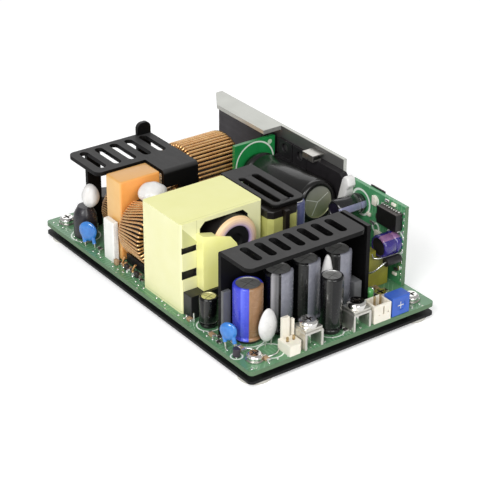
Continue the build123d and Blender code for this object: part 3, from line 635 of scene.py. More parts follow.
def makeCoil():
    # Wound roll with a soft front lip, its bore left open over the hub
    form = Form()
    points = [
        (5.6, 14.1), (5.7, 14.35), (6.1, 14.5), (7.0, 14.5), (7.8, 14.4), (8.4, 14.1), (8.8, 13.6),
        (9.0, 13.0), (9.0, 0.0), (5.6, 0.0), (5.6, 14.1),
    ]
    form.turned(points, (coil["back"], coil["y"], coil["high"]), (1, 0, 0), steps=64)
    form.piece("transformerCoil", [coilFinish()], stands=("transformer_coil",), smooth=50)


makeCoil()
print("transformer dressed")


# Wound rings


def copperFinish(name, lit, deep):
    # Enamelled copper wire, its tone changing a little from turn to turn, with painted shade where it faces
    # down between the turns
    finish = Finish(name, lit, 0.3, 0.75, Coat_Weight=0.7, Coat_Roughness=0.06)
    tone = finish.blend(finish.noise(2.4, 3.0), deep, lit)
    # Painted shade: the wire darkens where it faces down, standing in for shade between turns
    paintedTurnShade = (finish.facing("Z") * 0.6 + 0.72).kept()
    finish.colour(finish.blend(paintedTurnShade, rgb(110, 56, 24), tone))
    finish.set("Roughness", 0.2 + finish.noise(1.0) * 0.14)
    return finish


windingCopper = copperFinish("enamelledCopper", rgb(255, 212, 144), rgb(214, 144, 76))
paleCopper = copperFinish("paleCopper", rgb(255, 218, 156), rgb(222, 154, 92))
# How the wire lies on the core, where its ends stop, and how every second turn sinks and spreads
winding = {"gap": 0.12, "corner": 1.3, "foot": -0.3, "sink": 0.9, "spread": 0.5}
rings = {
    "boostWinding": {
        "node": "boost_inductor_winding", "axis": (0, 1, 0), "centre": (-38.5, 14.2), "high": 14.6,
        "outer": 12.8, "inner": 7.0, "width": 18.5, "wire": 1.02, "pairing": 0.06, "finish": windingCopper,
        "spans": [{"start": -166, "end": 166, "turns": 54}],
    },
    "largeChokeWindings": {
        "node": "large_choke_windings", "axis": (1, 0, 0), "centre": (-13.2, -22.3), "high": 12.8,
        "outer": 11.2, "inner": 6.0, "width": 10.8, "wire": 0.84, "finish": paleCopper,
        "spans": [
            {"start": 24, "end": 152, "turns": 28, "slant": 36},
            {"start": 204, "end": 334, "turns": 28},
        ],
    },
    "smallChokeWindings": {
        "node": "small_choke_windings", "axis": (1, 0, 0), "centre": (-38.2, -17.6), "high": 9.2,
        "outer": 7.8, "inner": 4.2, "width": 10.6, "wire": 0.7, "finish": paleCopper,
        "spans": [
            {"start": 24, "end": 152, "turns": 23, "slant": 36},
            {"start": 204, "end": 334, "turns": 23},
        ],
    },
}


def windRing(name, ring):
    # One wire wound turn after turn about the core's section, its ends led down to the board
    form = Form()
    axis = Vector(ring["axis"])
    up = Vector((0, 0, 1))
    side = axis.cross(up)
    centre = Vector((*ring["centre"], ring["high"]))
    wire, gap, corner = ring["wire"], winding["gap"], winding["corner"]
    far = ring["outer"] + gap + wire / 2
    half = ring["width"] / 2 + gap + wire / 2

    def at(angle, radius, along):
        turn = math.radians(angle)
        return centre + (up * math.cos(turn) + side * math.sin(turn)) * radius + axis * along

    for span in ring["spans"]:
        turns = span["turns"]
        step = (span["end"] - span["start"]) / (turns - 1)
        points = []
        for index in range(turns):
            layer = index % 2
            pair = (layer - 0.5) * step * ring.get("pairing", 0.0)
            angle = span["start"] + index * step - pair
            coming = span["start"] + (index + 1) * step + pair
            near = ring["inner"] - gap - wire / 2 - layer * wire * winding["sink"]
            low = half + layer * wire * winding["spread"]
            # A slanted strand leans most near the top and the foot of the ring
            swept = angle - span.get("slant", 0.0) * math.cos(math.radians(angle))
            points += [
                at(angle, far, corner - half),
                at(swept, far, half - corner),
                at(swept, far, half),
                at(swept, far - corner, low),
                at(angle, near + corner, low),
                at(angle, near, low),
                at(angle, near, half - corner),
                at(angle, near, corner - half),
                at(angle, near, -low),
                at(angle, near + corner, -low),
                at(coming, far - corner, -low),
                at(coming, far, -half),
            ]
        first, last = points[0], points[-1]
        lead = Vector((first.x, first.y, winding["foot"]))
        tail = Vector((last.x, last.y, winding["foot"]))
        points = [lead, (lead + first) / 2] + points + [(tail + last) / 2, tail]
        form.wire(points, wire / 2, sides=3)
    form.piece(name, [ring["finish"]], stands=(ring["node"],), smooth=60)


for ringName, ring in rings.items():
    windRing(ringName, ring)
coreCoat = plainFinish("coreCoat", rgb(12, 7, 5), rgb(24, 15, 10), (0.4, 0.55))
for coreName in ("large_choke_core", "small_choke_core", "boost_inductor_core"):
    dress(coreName, coreCoat)
print("windings made")


# Electrolytic capacitors


# The streak of light down each sleeve, by angle: how wide and soft it is, and how it fades
streak = {"middle": -49.0, "half": 17.0, "soft": 5.0, "fadeFrom": -62.0, "fade": 24.0, "least": 0.28}


def sleeveFinish(name, spec):
    # Shrunk sleeve with one band down its side; angles are about the can's own axis
    dark, light, lit = spec["sleeve"]
    finish = Finish(name, light, 0.2, 0.0, Coat_Weight=0.4, Coat_Roughness=0.04, Specular_IOR_Level=0.25)
    angle = degreesAbout(finish.x - spec["at"][0], finish.y - spec["at"][1])
    stripe = abs(angle - spec["middle"]) < spec["half"]
    tone = finish.blend(finish.noise(2.5), dark, light)
    bandTone = finish.blend(finish.noise(1.6, 3.0), *spec["band"])
    sheen = ((streak["half"] - abs(angle - streak["middle"])) / streak["soft"]).kept()
    fade = (1.0 - (angle - streak["fadeFrom"]) / streak["fade"]).atLeast(streak["least"]).kept()
    tone = finish.blend(sheen * fade, tone, lit)
    finish.colour(finish.blend(stripe, tone, bandTone))
    finish.set("Roughness", 0.2 + finish.noise(1.5) * 0.12)
    finish.bump(finish.noise(1.0, 3.0), 0.015)
    return finish


def canTopFinish(name, at, light, dark):
    # Bare aluminium top, dulled, with a cross-shaped vent score
    finish = Finish(name, light, 0.38, 0.7)
    across = finish.x - at[0]
    along = finish.y - at[1]
    inside = (across * across + along * along) < (at[2] * 0.6) ** 2
    score = ((abs(across + along * 0.35) < 0.16) + (abs(along - across * 0.35) < 0.16)).kept() * inside
    tone = finish.blend(finish.noise(1.4, 3.0), dark, light)
    finish.colour(finish.blend(score * 0.7, tone, rgb(96, 96, 94)))
    finish.set("Roughness", 0.34 + finish.noise(0.8) * 0.16)
    finish.bump(1.0 - score, 0.12)
    return finish


rubber = plainFinish("rubberBung", rgb(18, 18, 18), rgb(30, 29, 28), (0.5, 0.65))


def standCapacitor(name, place, sleeve, top):
    # Rubber bung, rolled neck, straight sleeve that turns over the top, sunk aluminium lid
    x, y, r, h = place
    neck = r * 0.12
    lip = r * 0.2
    points = [
        (0, 0.15), (r * 0.82, 0.15), (r * 0.86, 0.5), (r * 0.9, 1.1), (r - 0.1, 1.3), (r, 1.7),
        (r, r * 0.34), (r - neck * 0.7, r * 0.42), (r - neck, r * 0.5), (r - neck * 0.7, r * 0.58),
        (r, r * 0.68), (r, h - 0.9), (r - 0.12, h - 0.35), (r - 0.4, h - 0.06), (r - 0.75, h + 0.02),
        (r - lip, h - 0.02), (r - lip - 0.15, h - 0.12), (r - lip - 0.2, h - 0.32), (r - lip - 0.5, h - 0.36),
        (r * 0.3, h - 0.28), (0, h - 0.26),
    ]

    def pick(radius, high):
        if high < 1.15 and radius < r * 0.95:
            return 2
        return 1 if high > h - 0.45 and radius < r - lip - 0.05 else 0

    form = Form()
    form.turned(points, (x, y, 0), slots=pick, steps=48)
    return form.piece(name, [sleeve, top, rubber], smooth=50)


# Each sleeve has a darker, a lighter and a streak tone, and each lid a lighter and a darker one
blackSleeve = (rgb(4, 4, 5), rgb(14, 14, 16), rgb(64, 64, 62))
litSleeve = (rgb(4, 4, 5), rgb(14, 14, 16), rgb(184, 183, 186))
blueSleeve = (rgb(50, 56, 186), rgb(70, 78, 208), rgb(98, 112, 228))
slateSleeve = (rgb(82, 88, 128), rgb(104, 108, 150), rgb(150, 152, 180))
usualCan = {
    "sleeve": blackSleeve, "band": (rgb(112, 113, 124), rgb(140, 141, 150)),
    "lid": (rgb(188, 188, 186), rgb(140, 140, 138)),
    "stands": ("black_capacitor_sleeves", "upright_capacitor_cans"),
}
# at is x, y, radius and height; middle and half place the band, in degrees
capacitors = {
    "outputCapacitorA": {"at": (46.8, -15.3, 5.0, 22.5), "sleeve": litSleeve, "middle": 16, "half": 41},
    "outputCapacitorB": {"at": (46.4, -4.0, 5.0, 22.5), "middle": 16, "half": 41},
    "outputCapacitorC": {"at": (47.2, 8.4, 5.0, 22.5), "middle": 16, "half": 41},
    "terminalCapacitor": {"at": (57.6, -1.9, 3.9, 20.6), "middle": 160, "half": 20},
    "blueCapacitor": {
        "at": (46.0, -26.6, 5.0, 20.4), "sleeve": blueSleeve, "middle": 12, "half": 44,
        "band": (rgb(134, 100, 70), rgb(160, 124, 92)), "stands": ("blue_capacitor_sleeve",),
    },
    "smallCapacitor": {
        "at": (32.1, -32.2, 3.15, 11.0), "middle": 150, "half": 20,
        "lid": (rgb(236, 234, 190), rgb(208, 204, 150)), "stands": ("small_capacitor",),
    },
    "biasCapacitor": {
        "at": (18.6, 13.4, 3.2, 27.0), "sleeve": slateSleeve, "middle": 150, "half": 20,
        "stands": ("bias_capacitor",),
    },
}
for canName, changes in capacitors.items():
    spec = {**usualCan, **changes}
    sleeve = sleeveFinish(canName + "Sleeve", spec)
    top = canTopFinish(canName + "Lid", spec["at"], *spec["lid"])
    made = standCapacitor(canName, spec["at"], sleeve, top)
    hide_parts(*spec["stands"])
print("upright capacitors made")

# The lying capacitor: its axis in x, y and height, its lid's score lines, and its leads in x and height
bulk = {
    "at": (-20.3, 25.2, 19.6), "tilt": 3.2, "radius": 7.9, "length": 36.6, "scores": (26, 158, 242),
    "scoreEnd": 5.2, "leads": ((-23.3, 19.6), (-21.0, 19.6), (-19.4, 19.7)), "leadGap": 7.5, "lead": 0.4,
}


def bulkFinish():
    # Black sleeve with a soft sheen
    finish = Finish(
        "bulkSleeve", rgb(20, 20, 20), 0.25, 0.0, Coat_Weight=0.4, Coat_Roughness=0.1, Specular_IOR_Level=0.3,
    )
    finish.vary(4.0, rgb(8, 7, 7), rgb(18, 16, 15), (0.26, 0.38))
    finish.bump(finish.noise(1.6, 3.0), 0.03)
    return finish


def bulkLidFinish():
    # Lid with score lines that meet at its middle
    finish = Finish("bulkLid", rgb(150, 152, 140), 0.42, 0.55)
    tilt = math.radians(bulk["tilt"])
    up = finish.high - (bulk["at"][2] + bulk["length"] * math.sin(tilt))
    across = finish.y - bulk["at"][1]
    lines = 0.0
    for degrees in bulk["scores"]:
        turn = math.radians(degrees)
        along = across * math.cos(turn) + up * math.sin(turn)
        beside = up * math.cos(turn) - across * math.sin(turn)
        lines = lines + (abs(beside) < 0.16) * (along > 0.0)
    lines = lines.kept() * (reach(across, up) < bulk["scoreEnd"])
    tone = finish.blend((up / 11.0 + 0.5).kept(), rgb(140, 146, 96), rgb(160, 160, 154))
    tone = finish.blend(finish.noise(2.2, 3.0) * 0.5, tone, rgb(176, 176, 160))
    finish.colour(finish.blend(lines * 0.8, tone, rgb(240, 242, 232)))
    finish.bump(1.0 - lines, 0.15)
    return finish


def makeBulk():
    tilt = math.radians(bulk["tilt"])
    r, h = bulk["radius"], bulk["length"]
    points = [
        (0, 0.4), (r * 0.8, 0.4), (r * 0.88, 0.9), (r - 0.9, 1.7), (r - 0.45, 2.3), (r - 0.1, 2.7),
        (r, 3.2), (r, 4.0), (r - 0.35, 4.35), (r - 0.7, 4.9), (r - 0.35, 5.45), (r, 5.9), (r, h - 2.6),
        (r - 0.12, h - 2.2), (r - 0.12, h - 1.9), (r, h - 1.5), (r - 0.1, h - 0.7), (r - 0.45, h - 0.15),
        (r - 1.0, h), (r - 1.7, h - 0.05), (r - 2.1, h - 0.25), (r - 2.2, h - 0.6), (r - 2.6, h - 0.66),
        (r * 0.3, h - 0.55), (0, h - 0.5),
    ]

    def pick(radius, high):
        return 1 if high > h - 0.7 and radius < r - 2.15 else 0

    form = Form()
    form.turned(points, bulk["at"], (math.cos(tilt), 0, math.sin(tilt)), slots=pick, steps=64)
    for side in (-0.5, 0.5):
        y = bulk["at"][1] + side * bulk["leadGap"]
        form.wire([(x, y, high) for x, high in bulk["leads"]], bulk["lead"], slot=2)
    form.piece(
        "bulkCapacitor", [bulkFinish(), bulkLidFinish(), tin],
        stands=("bulk_capacitor_sleeve", "bulk_capacitor_can"), smooth=50,
    )


makeBulk()


riser = {"y": 25.2, "high": 22.4, "ring": (8.0, 8.6), "pad": (6.6, 6.9), "padArea": 0.9}


def riserFinish():
    # Upright green board with a printed ring about the lying capacitor and one bare pad
    finish = Finish("riserMask", rgb(22, 128, 62), 0.3, 0.0, Coat_Weight=0.25)
    across, up = finish.y - riser["y"], finish.high - riser["high"]
    ring = reach(across, up).within(*riser["ring"])
    tone = finish.vary(4.0, rgb(16, 112, 52), rgb(34, 142, 74), (0.25, 0.4))
    beside, above = across - riser["pad"][0], up - riser["pad"][1]
    pad = (beside * beside + above * above) < riser["padArea"]
    tone = finish.blend(pad, tone, rgb(180, 208, 176))
    finish.colour(finish.blend(ring, tone, rgb(214, 226, 212)))
    finish.bump(ring + finish.noise(0.6) * 0.2, 0.03)
    return finish


dress("bulk_capacitor_riser", riserFinish(), 0.12)
print("lying capacitor made")


# Filter parts, discs, sealant and the bead

film = {"x": (-30.2, -20.7), "y": (-32.0, -15.6), "high": (0.3, 30.4), "edge": 0.7}
thermistor = {"at": (-45.3, -32.0, 0.0), "radius": 4.3}


def orangeFinish():
    # Dipped orange case; its top and its face to the output end get deeper tones, painted light and shade per
    # face
    finish = Finish("orangeCase", rgb(232, 172, 98), 0.32, 0.0, Coat_Weight=0.15)
    tone = finish.vary(6.0, rgb(228, 178, 104), rgb(242, 200, 134), (0.26, 0.4))
    tone = finish.blend(finish.facing("Z").kept(), tone, rgb(220, 164, 88))
    finish.colour(finish.blend(finish.facing("X").kept(), tone, rgb(236, 160, 82)))
    finish.bump(finish.noise(0.5, 3.0) + finish.noise(6.0), 0.05, 0.6)
    return finish


def makeInputParts():
    form = Form()
    form.box(*film["x"], *film["y"], *film["high"], edge=film["edge"], segments=4)
    form.piece("filmCapacitor", [orangeFinish()], stands=("film_capacitor",))
    white = plainFinish(
        "whiteCeramic", rgb(234, 234, 230), rgb(248, 248, 244), (0.35, 0.55), grain=0.3, depth=0.02,
    )
    # One of the small resistors, at the board's front corner, is dark
    darkOne = (white.y < -35.1) * (white.x > 45.0)
    white.colour(white.blend(darkOne, white.tone, rgb(52, 46, 54)))
    dress("small_resistors", white, 0.2)
    sleeve = plainFinish(
        "shrunkSleeve", rgb(27, 26, 30), rgb(48, 46, 52), (0.22, 0.36), grain=1.2, depth=0.08,
    )
    r = thermistor["radius"]
    points = [
        (0, 0.1), (r * 0.88, 0.1), (r * 0.98, 0.5), (r, 1.4), (r * 0.985, 4.0), (r, 6.5), (r * 0.97, 8.4),
        (r * 0.86, 9.8), (r * 0.72, 10.8), (r * 0.64, 11.6), (r * 0.6, 12.0), (0, 12.0),
    ]
    form = Form()
    form.turned(points, thermistor["at"])
    form.piece("thermistorSleeve", [sleeve], stands=("sleeved_thermistor",), smooth=60)
    fuse = plainFinish("fuseCase", rgb(38, 36, 36), rgb(58, 55, 54), (0.3, 0.5))
    dress("input_fuse", fuse, 0.4, 3)


discs = {
    "inputDisc": {"at": (-38.2, -35.2), "high": 5.8, "radius": 3.5},
    "outputDisc": {"at": (47.7, -35.4), "high": 6.6, "radius": 3.0},
}
# dropFrom and legs are parts of the radius; run and lead are the radii of epoxy run and lead
discShape = {"turn": 30, "half": 1.25, "dropFrom": 0.35, "drop": 0.25, "legs": 0.55, "run": 0.7, "lead": 0.3}


def makeDiscs():
    # Dipped discs: a lens with the epoxy run down over the tops of its leaning leads
    epoxy = Finish("blueEpoxy", rgb(70, 140, 214), 0.12, 0.0, Coat_Weight=0.8, Coat_Roughness=0.05)
    epoxy.vary(2.0, rgb(32, 98, 180), rgb(64, 138, 214), (0.1, 0.2))
    epoxy.bump(epoxy.noise(1.6), 0.08, 0.5)
    turn = Matrix.Rotation(math.radians(discShape["turn"]), 4, "Z")
    for name, spec in discs.items():
        (x, y), high, r = spec["at"], spec["high"], spec["radius"]
        form = Form()
        made = form.ball((x, y, high), (r, discShape["half"], r), detail=4, turn=turn)
        for vert in made:
            drop = high + boardTop - vert.co.z - r * discShape["dropFrom"]
            if drop > 0.0:
                vert.co.z -= drop * discShape["drop"]
        for side in (-1, 1):
            out = turn @ Vector((side * r * discShape["legs"], 0, 0))
            leg, foot = x + out.x, y + out.y
            low = high - r
            run = [(leg, foot, high - r * 0.4), (leg + 0.4, foot, low), (leg + 0.9, foot, low - 1.0)]
            lead = [(leg + 0.5, foot, low), (leg + 1.1, foot, 1.0), (leg + 1.2, foot, -0.2)]
            form.wire(run, discShape["run"], smooth=4, sides=4)
            form.wire(lead, discShape["lead"], slot=1)
        form.piece(name, [epoxy, tin], stands=("disc_capacitors",), smooth=80)


controlFace = 35.9  # y of the upright control board's front
mounds = {
    "thermistorSealant": {"at": (-42.9, -31.0), "low": 12.0, "high": 21.0, "radius": 3.1},
    "chokeSealant": {"at": (-15.4, -22.3), "low": 22.4, "high": 29.9, "radius": 4.9},
    "terminalSealant": {"at": (50.3, 2.0), "low": 0.0, "high": 23.5, "radius": 2.05},
}
foldedSlab = {
    "outline": [
        (16.2, 17.5), (19.5, 29.8), (20.6, 31.3), (22.6, 31.0), (23.4, 28.4), (22.1, 26.6), (21.0, 17.5),
    ],
    "thick": 3.5, "edge": 0.5,
}


def makeSealant():
    # Soft white mounds, each bent a little, and the flat slab at the control board's end
    silicone = Finish("silicone", rgb(244, 242, 238), 0.4, 0.0, Coat_Weight=0.2)
    silicone.vary(2.4, rgb(216, 214, 212), rgb(236, 235, 233), (0.3, 0.5))
    silicone.bump(silicone.noise(2.2, 3.0), 0.35, 0.7)
    for name, spec in mounds.items():
        (x, y), r = spec["at"], spec["radius"]
        form = Form()
        half = (spec["high"] - spec["low"]) / 2
        made = form.ball((x, y, spec["low"] + half), (r, r, half), detail=4)
        bmesh.ops.smooth_vert(
            form.mesh, verts=made, factor=0.3, use_axis_x=True, use_axis_y=True, use_axis_z=True,
        )
        for vert in made:
            bend = (math.sin(vert.co.z * 0.9 + x) + math.sin(vert.co.x * 1.7 + vert.co.y)) * 0.06
            vert.co.x += (vert.co.x - x) * bend
            vert.co.y += (vert.co.y - y) * bend * 0.7
        form.piece(name, [silicone], stands=("sealant",), smooth=80)
    form = Form()
    plane = Matrix.Translation((0, controlFace, 0)) @ Matrix.Rotation(math.radians(90), 4, "X")
    form.slab(foldedSlab["outline"], foldedSlab["thick"], foldedSlab["edge"], 3, plane)
    form.piece("sealantSlab", [silicone], stands=("sealant",))


# taper narrows the top across x and y; the legs stand at their own y
bead = {"at": (53.1, -23.9, 7.4), "size": (1.5, 3.6, 6.0), "taper": (0.15, 0.22), "legs": (-24.7, -22.5)}


def makeBead():
    # White dipped bead on two thin leads
    coat = Finish("beadCoat", rgb(232, 229, 226), 0.25, 0.0, Coat_Weight=0.4)
    coat.vary(4.5, rgb(196, 195, 194), rgb(246, 245, 243), (0.2, 0.34))
    coat.bump(coat.noise(2.0), 0.12, 0.6)
    x, y, high = bead["at"]
    form = Form()
    for vert in form.ball(bead["at"], bead["size"], detail=4):
        rise = (vert.co.z - boardTop - high) / bead["size"][2]
        vert.co.y = y + (vert.co.y - y) * (1.0 - bead["taper"][1] * max(rise, 0.0))
        vert.co.x = x + (vert.co.x - x) * (1.0 - bead["taper"][0] * rise)
    for leg in bead["legs"]:
        form.wire([(x, leg + 0.3, 2.4), (x, leg, 1.0), (x, leg - 0.1, -0.2)], 0.26, slot=1)
    form.piece("beadThermistor", [coat, tin], stands=("bead_thermistor",), smooth=80)


makeInputParts()
makeDiscs()
makeSealant()
makeBead()
print("filter parts and sealant made")


# Headers, trimmer, LED and small parts

cream = plainFinish(
    "creamNylon", rgb(226, 218, 200), rgb(242, 236, 222), (0.35, 0.5), grain=0.5, Subsurface_Weight=0.05,
)
dress("header_housings", cream, 0.22, 3)
pinMetal = plainFinish("tinnedPins", rgb(176, 150, 108), rgb(206, 186, 146), (0.25, 0.4), 0.85, size=1.0)
dress("header_pins", pinMetal, 0.1)
blueMoulding = plainFinish("blueMoulding", rgb(44, 84, 176), rgb(62, 104, 196), (0.28, 0.42), grain=0.3)
dress("trimmer_body", blueMoulding, 0.25, 3)
# The rotor is blue like its body, with a white cross slot that stands behind this depth
rotorSlot = 62.95
rotorWhite = plainFinish("rotorWhite", rgb(206, 208, 210), rgb(232, 232, 230), (0.3, 0.5), grain=0.3)
rotorWhite.colour(rotorWhite.blend(rotorWhite.x < rotorSlot, rgb(56, 98, 188), rgb(246, 246, 244)))
dress("trimmer_rotor", rotorWhite, 0.04)
ledGreen = Finish("ledGreen", rgb(52, 150, 66), 0.12, 0.0, Coat_Weight=0.5, Transmission_Weight=0.25)
ledGreen.vary(1.5, rgb(70, 176, 80), rgb(140, 226, 136), (0.08, 0.18))
dress("status_led", ledGreen)
greyCase = plainFinish("greyCase", rgb(82, 83, 84), rgb(106, 107, 109), (0.35, 0.5))
darkCase = plainFinish("darkCase", rgb(52, 52, 56), rgb(78, 78, 82), (0.35, 0.5))
dress("snubber_capacitor", darkCase, 0.2)
moulding = plainFinish(
    "moulding", rgb(26, 24, 26), rgb(44, 42, 44), (0.3, 0.45),
    grain=0.25, depth=0.015, Specular_IOR_Level=0.3,
)
for device in ("boost_transistors", "primary_transistors", "output_rectifiers", "bridge_rectifier"):
    dress(device, moulding, 0.15)
dress("heatsink_sensor", greyCase, 0.15)
dress("drive_transformer_core", coreCoat, 0.2)
tapeGrain = {"size": 4.0, "grain": 2.5, "depth": 0.1}
shadedTape = plainFinish("shadedTape", rgb(168, 168, 90), rgb(202, 202, 124), (0.3, 0.45), **tapeGrain)
# Dark bands above and below the tape of the small drive transformer; the upper one is painted shadow under
# the heatsink plate above it
darkBands = {"above": 26.6, "below": 9.4}
darkBand = ((shadedTape.high > darkBands["above"]) + (shadedTape.high < darkBands["below"])).kept()
shadedTape.colour(shadedTape.blend(darkBand, shadedTape.tone, rgb(24, 21, 20)))
dress("drive_transformer_coil", shadedTape, 0.3, 3)
# Painted shade: the standby transformer's tape is a darker, olive copy of the yellow tape, for the shade it
# stands in
shadedStandbyTape = plainFinish("shadedStandbyTape", rgb(116, 112, 34), rgb(156, 150, 56), (0.3, 0.45), **tapeGrain)
dress("standby_transformer", shadedStandbyTape, 0.3, 3)

# Control board and its parts

# Printed rings at x and height, with their radius
controlSilk = ((26.2, 22.9, 4.6), (44.9, 15.8, 4.6), (34.4, 16.4, 1.6), (33.6, 26.4, 1.5))
controlMask = boardFinish("controlMask", rgb(56, 128, 80), rgb(84, 158, 108), controlSilk, upright=True)
dress("control_board", controlMask, 0.12)
chipMoulding = plainFinish("chipMoulding", rgb(9, 8, 8), rgb(22, 20, 20), (0.35, 0.5), grain=0.25)
# Painted sheen: the chips' tops are made lighter than their sides
paintedTopSheen = chipMoulding.facing("Z").kept()
chipMoulding.colour(chipMoulding.blend(paintedTopSheen, chipMoulding.tone, rgb(84, 78, 78)))
dress("control_chips", chipMoulding, 0.25)
dress("control_diode", moulding, 0.15)

# at is x and height over the board; middle places the band, in degrees
lyingCapacitors = {
    "controlCapacitor": {
        "node": "control_capacitor", "at": (26.2, 22.9), "radius": 3.6, "length": 12.0,
        "sleeve": blackSleeve[:2], "band": (rgb(108, 109, 136), rgb(140, 141, 168)), "middle": 12, "half": 20,
    },
    "violetCapacitor": {
        "node": "violet_capacitor", "at": (44.9, 15.8), "radius": 4.0, "length": 7.8,
        "sleeve": (rgb(36, 27, 98), rgb(58, 44, 136)), "band": (rgb(116, 84, 136), rgb(156, 110, 144)),
        "middle": 66, "half": 20,
    },
}


def lyingSleeveFinish(name, spec):
    dark, light = spec["sleeve"]
    finish = Finish(name, light, 0.22, 0.0, Coat_Weight=0.5)
    angle = degreesAbout(finish.x - spec["at"][0], finish.high - spec["at"][1])
    stripe = abs(angle - spec["middle"]) < spec["half"]
    tone = finish.blend(finish.noise(2.0), dark, light)
    finish.colour(finish.blend(stripe, tone, finish.blend(finish.noise(1.4), *spec["band"])))
    finish.set("Roughness", 0.2 + finish.noise(1.5) * 0.12)
    return finish


def makeLyingCapacitors():
    # Two small capacitors that stand out from the control board
    for name, spec in lyingCapacitors.items():
        r, length = spec["radius"], spec["length"]
        side = lyingSleeveFinish(name + "Sleeve", spec)
        end = plainFinish(name + "End", rgb(16, 14, 24), rgb(34, 29, 48), (0.3, 0.45))
        points = [
            (0, 0.0), (r * 0.86, 0.0), (r * 0.9, 0.6), (r - 0.1, 1.0), (r, 1.5), (r, r * 0.6),
            (r - 0.35, r * 0.68), (r, r * 0.78), (r, length - 0.8), (r - 0.3, length - 0.15),
            (r - 0.7, length), (r - 0.95, length - 0.15), (r - 1.1, length - 0.35), (0, length - 0.3),
        ]

        def pick(radius, high):
            return 1 if high > length - 0.4 and radius < r - 0.9 else 0

        form = Form()
        form.turned(points, (spec["at"][0], controlFace, spec["at"][1]), (0, -1, 0), slots=pick)
        form.piece(name, [side, end], stands=(spec["node"],), smooth=50)


makeLyingCapacitors()
print("small parts dressed")


# Surface parts, joints and loose wires

chipBlack = plainFinish("chipBody", rgb(34, 30, 30), rgb(58, 52, 50), (0.35, 0.5), grain=0.3)
chipTan = plainFinish("chipTan", rgb(150, 122, 92), rgb(184, 156, 122), (0.4, 0.6), grain=0.3)
solder = plainFinish("solder", rgb(214, 214, 210), rgb(246, 246, 242), (0.12, 0.28), 0.9, size=0.8)


# Small and large chips: their length, width and height
chipSizes = ((1.9, 1.1, 0.7), (2.6, 1.5, 1.1))
boardDetail = {
    # x, y and size, which is also the slot
    "chips": (
        (-19.9, -33.4, 0), (-17.2, -33.2, 1), (-14.6, -33.0, 1), (-12.0, -33.4, 0), (-8.4, -33.0, 1),
        (-5.2, -34.0, 0), (-33.0, -33.6, 0), (43.2, -35.9, 0), (57.6, -33.2, 0), (60.2, -29.6, 1),
        (56.2, -29.4, 0), (50.8, -32.6, 1), (46.0, 27.4, 1), (48.4, 29.4, 0), (53.8, 26.6, 0),
        (56.4, 30.2, 1), (-57.2, -25.6, 0), (-54.0, -23.4, 1), (-60.2, -22.0, 0), (58.6, 34.4, 0),
        (26.2, -35.6, 1), (60.6, 2.0, 0), (38.4, -35.2, 1), (41.0, -34.0, 0), (-36.0, 33.5, 0),
        (-52.0, 30.0, 1),
    ),
    # x, y and height
    "stubs": (
        (27.8, -35.0, 3.4), (24.6, -35.8, 1.6), (-30.6, -35.4, 1.4), (45.0, -31.9, 1.2), (-48.6, -25.0, 1.5),
    ),
    # x, y, height and slot
    "ends": (
        (-18.2, -33.6, 3.8, 3), (-16.9, -33.9, 2.2, 3), (-11.6, -33.6, 3.4, 3), (-13.6, -34.6, 1.2, 2),
        (-9.8, -34.8, 1.0, 2),
    ),
    # Solder domes along two edges, every second or third one set in a little
    "frontDomes": {
        "count": 46, "x": -60.5, "y": -36.6, "step": 2.72, "inset": 0.35, "size": (0.42, 0.42, 0.3),
    },
    "endDomes": {"count": 18, "x": 62.2, "y": -30.0, "step": 3.7, "inset": 0.5, "size": (0.4, 0.4, 0.28)},
    # x, y and slot
    "blocks": ((-14.9, -33.9, 0), (-8.4, -34.0, 0), (-20.0, -34.9, 1)),
    "wires": (
        ((49.2, -33.4, 0.3), (51.4, -31.2, 0.5), (53.4, -29.6, 0.5), (55.4, -29.0, 0.2)),
        ((55.6, -21.4, 0.2), (58.2, -23.0, 0.6), (60.2, -26.0, 0.6), (59.0, -28.6, 0.2)),
        ((-59.5, -30.5, 0.2), (-58.6, -27.8, 2.2), (-56.4, -26.0, 2.4), (-54.2, -27.4, 0.2)),
        ((44.4, 24.2, 0.2), (45.0, 24.8, 1.8), (46.4, 25.2, 1.9), (47.2, 25.6, 0.2)),
    ),
}


def makeBoardParts():
    # Chips with tinned ends, solder domes and wire ends about the open parts of the main board
    form = Form()
    for x, y, kind in boardDetail["chips"]:
        long, wide, tall = chipSizes[kind]
        form.box(x - long / 2, x + long / 2, y - wide / 2, y + wide / 2, 0.02, tall, edge=0.08, slot=kind)
        for end in (-1, 1):
            edge, side = x + end * long / 2, wide / 2 + 0.06
            form.box(edge - 0.3, edge + 0.3, y - side, y + side, 0.0, tall + 0.05, edge=0.08, slot=2)
    row = boardDetail["frontDomes"]
    for index in range(row["count"]):
        if index % 5 < 3:
            at = (row["x"] + index * row["step"], row["y"] + (index % 3) * row["inset"], 0.02)
            form.ball(at, row["size"], slot=2, detail=2)
    row = boardDetail["endDomes"]
    for index in range(row["count"]):
        at = (row["x"] - (index % 2) * row["inset"], row["y"] + index * row["step"], 0.02)
        form.ball(at, row["size"], slot=2, detail=2)
    for x, y, tall in boardDetail["stubs"]:
        form.wire([(x, y, 0.0), (x, y, tall * 0.5), (x, y, tall)], 0.3, slot=2)
    for x, y, tall, kind in boardDetail["ends"]:
        bent = [(x, y, 0.0), (x - 0.2, y, tall * 0.5), (x + 0.9, y + 0.8, tall)]
        form.wire(bent, 0.4, slot=kind, smooth=4)
        form.ball((x, y, 0.05), (0.55, 0.55, 0.45), slot=2, detail=2)
    for x, y, kind in boardDetail["blocks"]:
        form.box(x - 0.9, x + 0.9, y - 0.7, y + 0.7, 0.02, 2.2, edge=0.3, slot=kind)
    for path in boardDetail["wires"]:
        form.wire(path, 0.24, slot=2, smooth=5)
    form.piece("boardParts", [chipBlack, chipTan, solder, windingCopper], smooth=50)


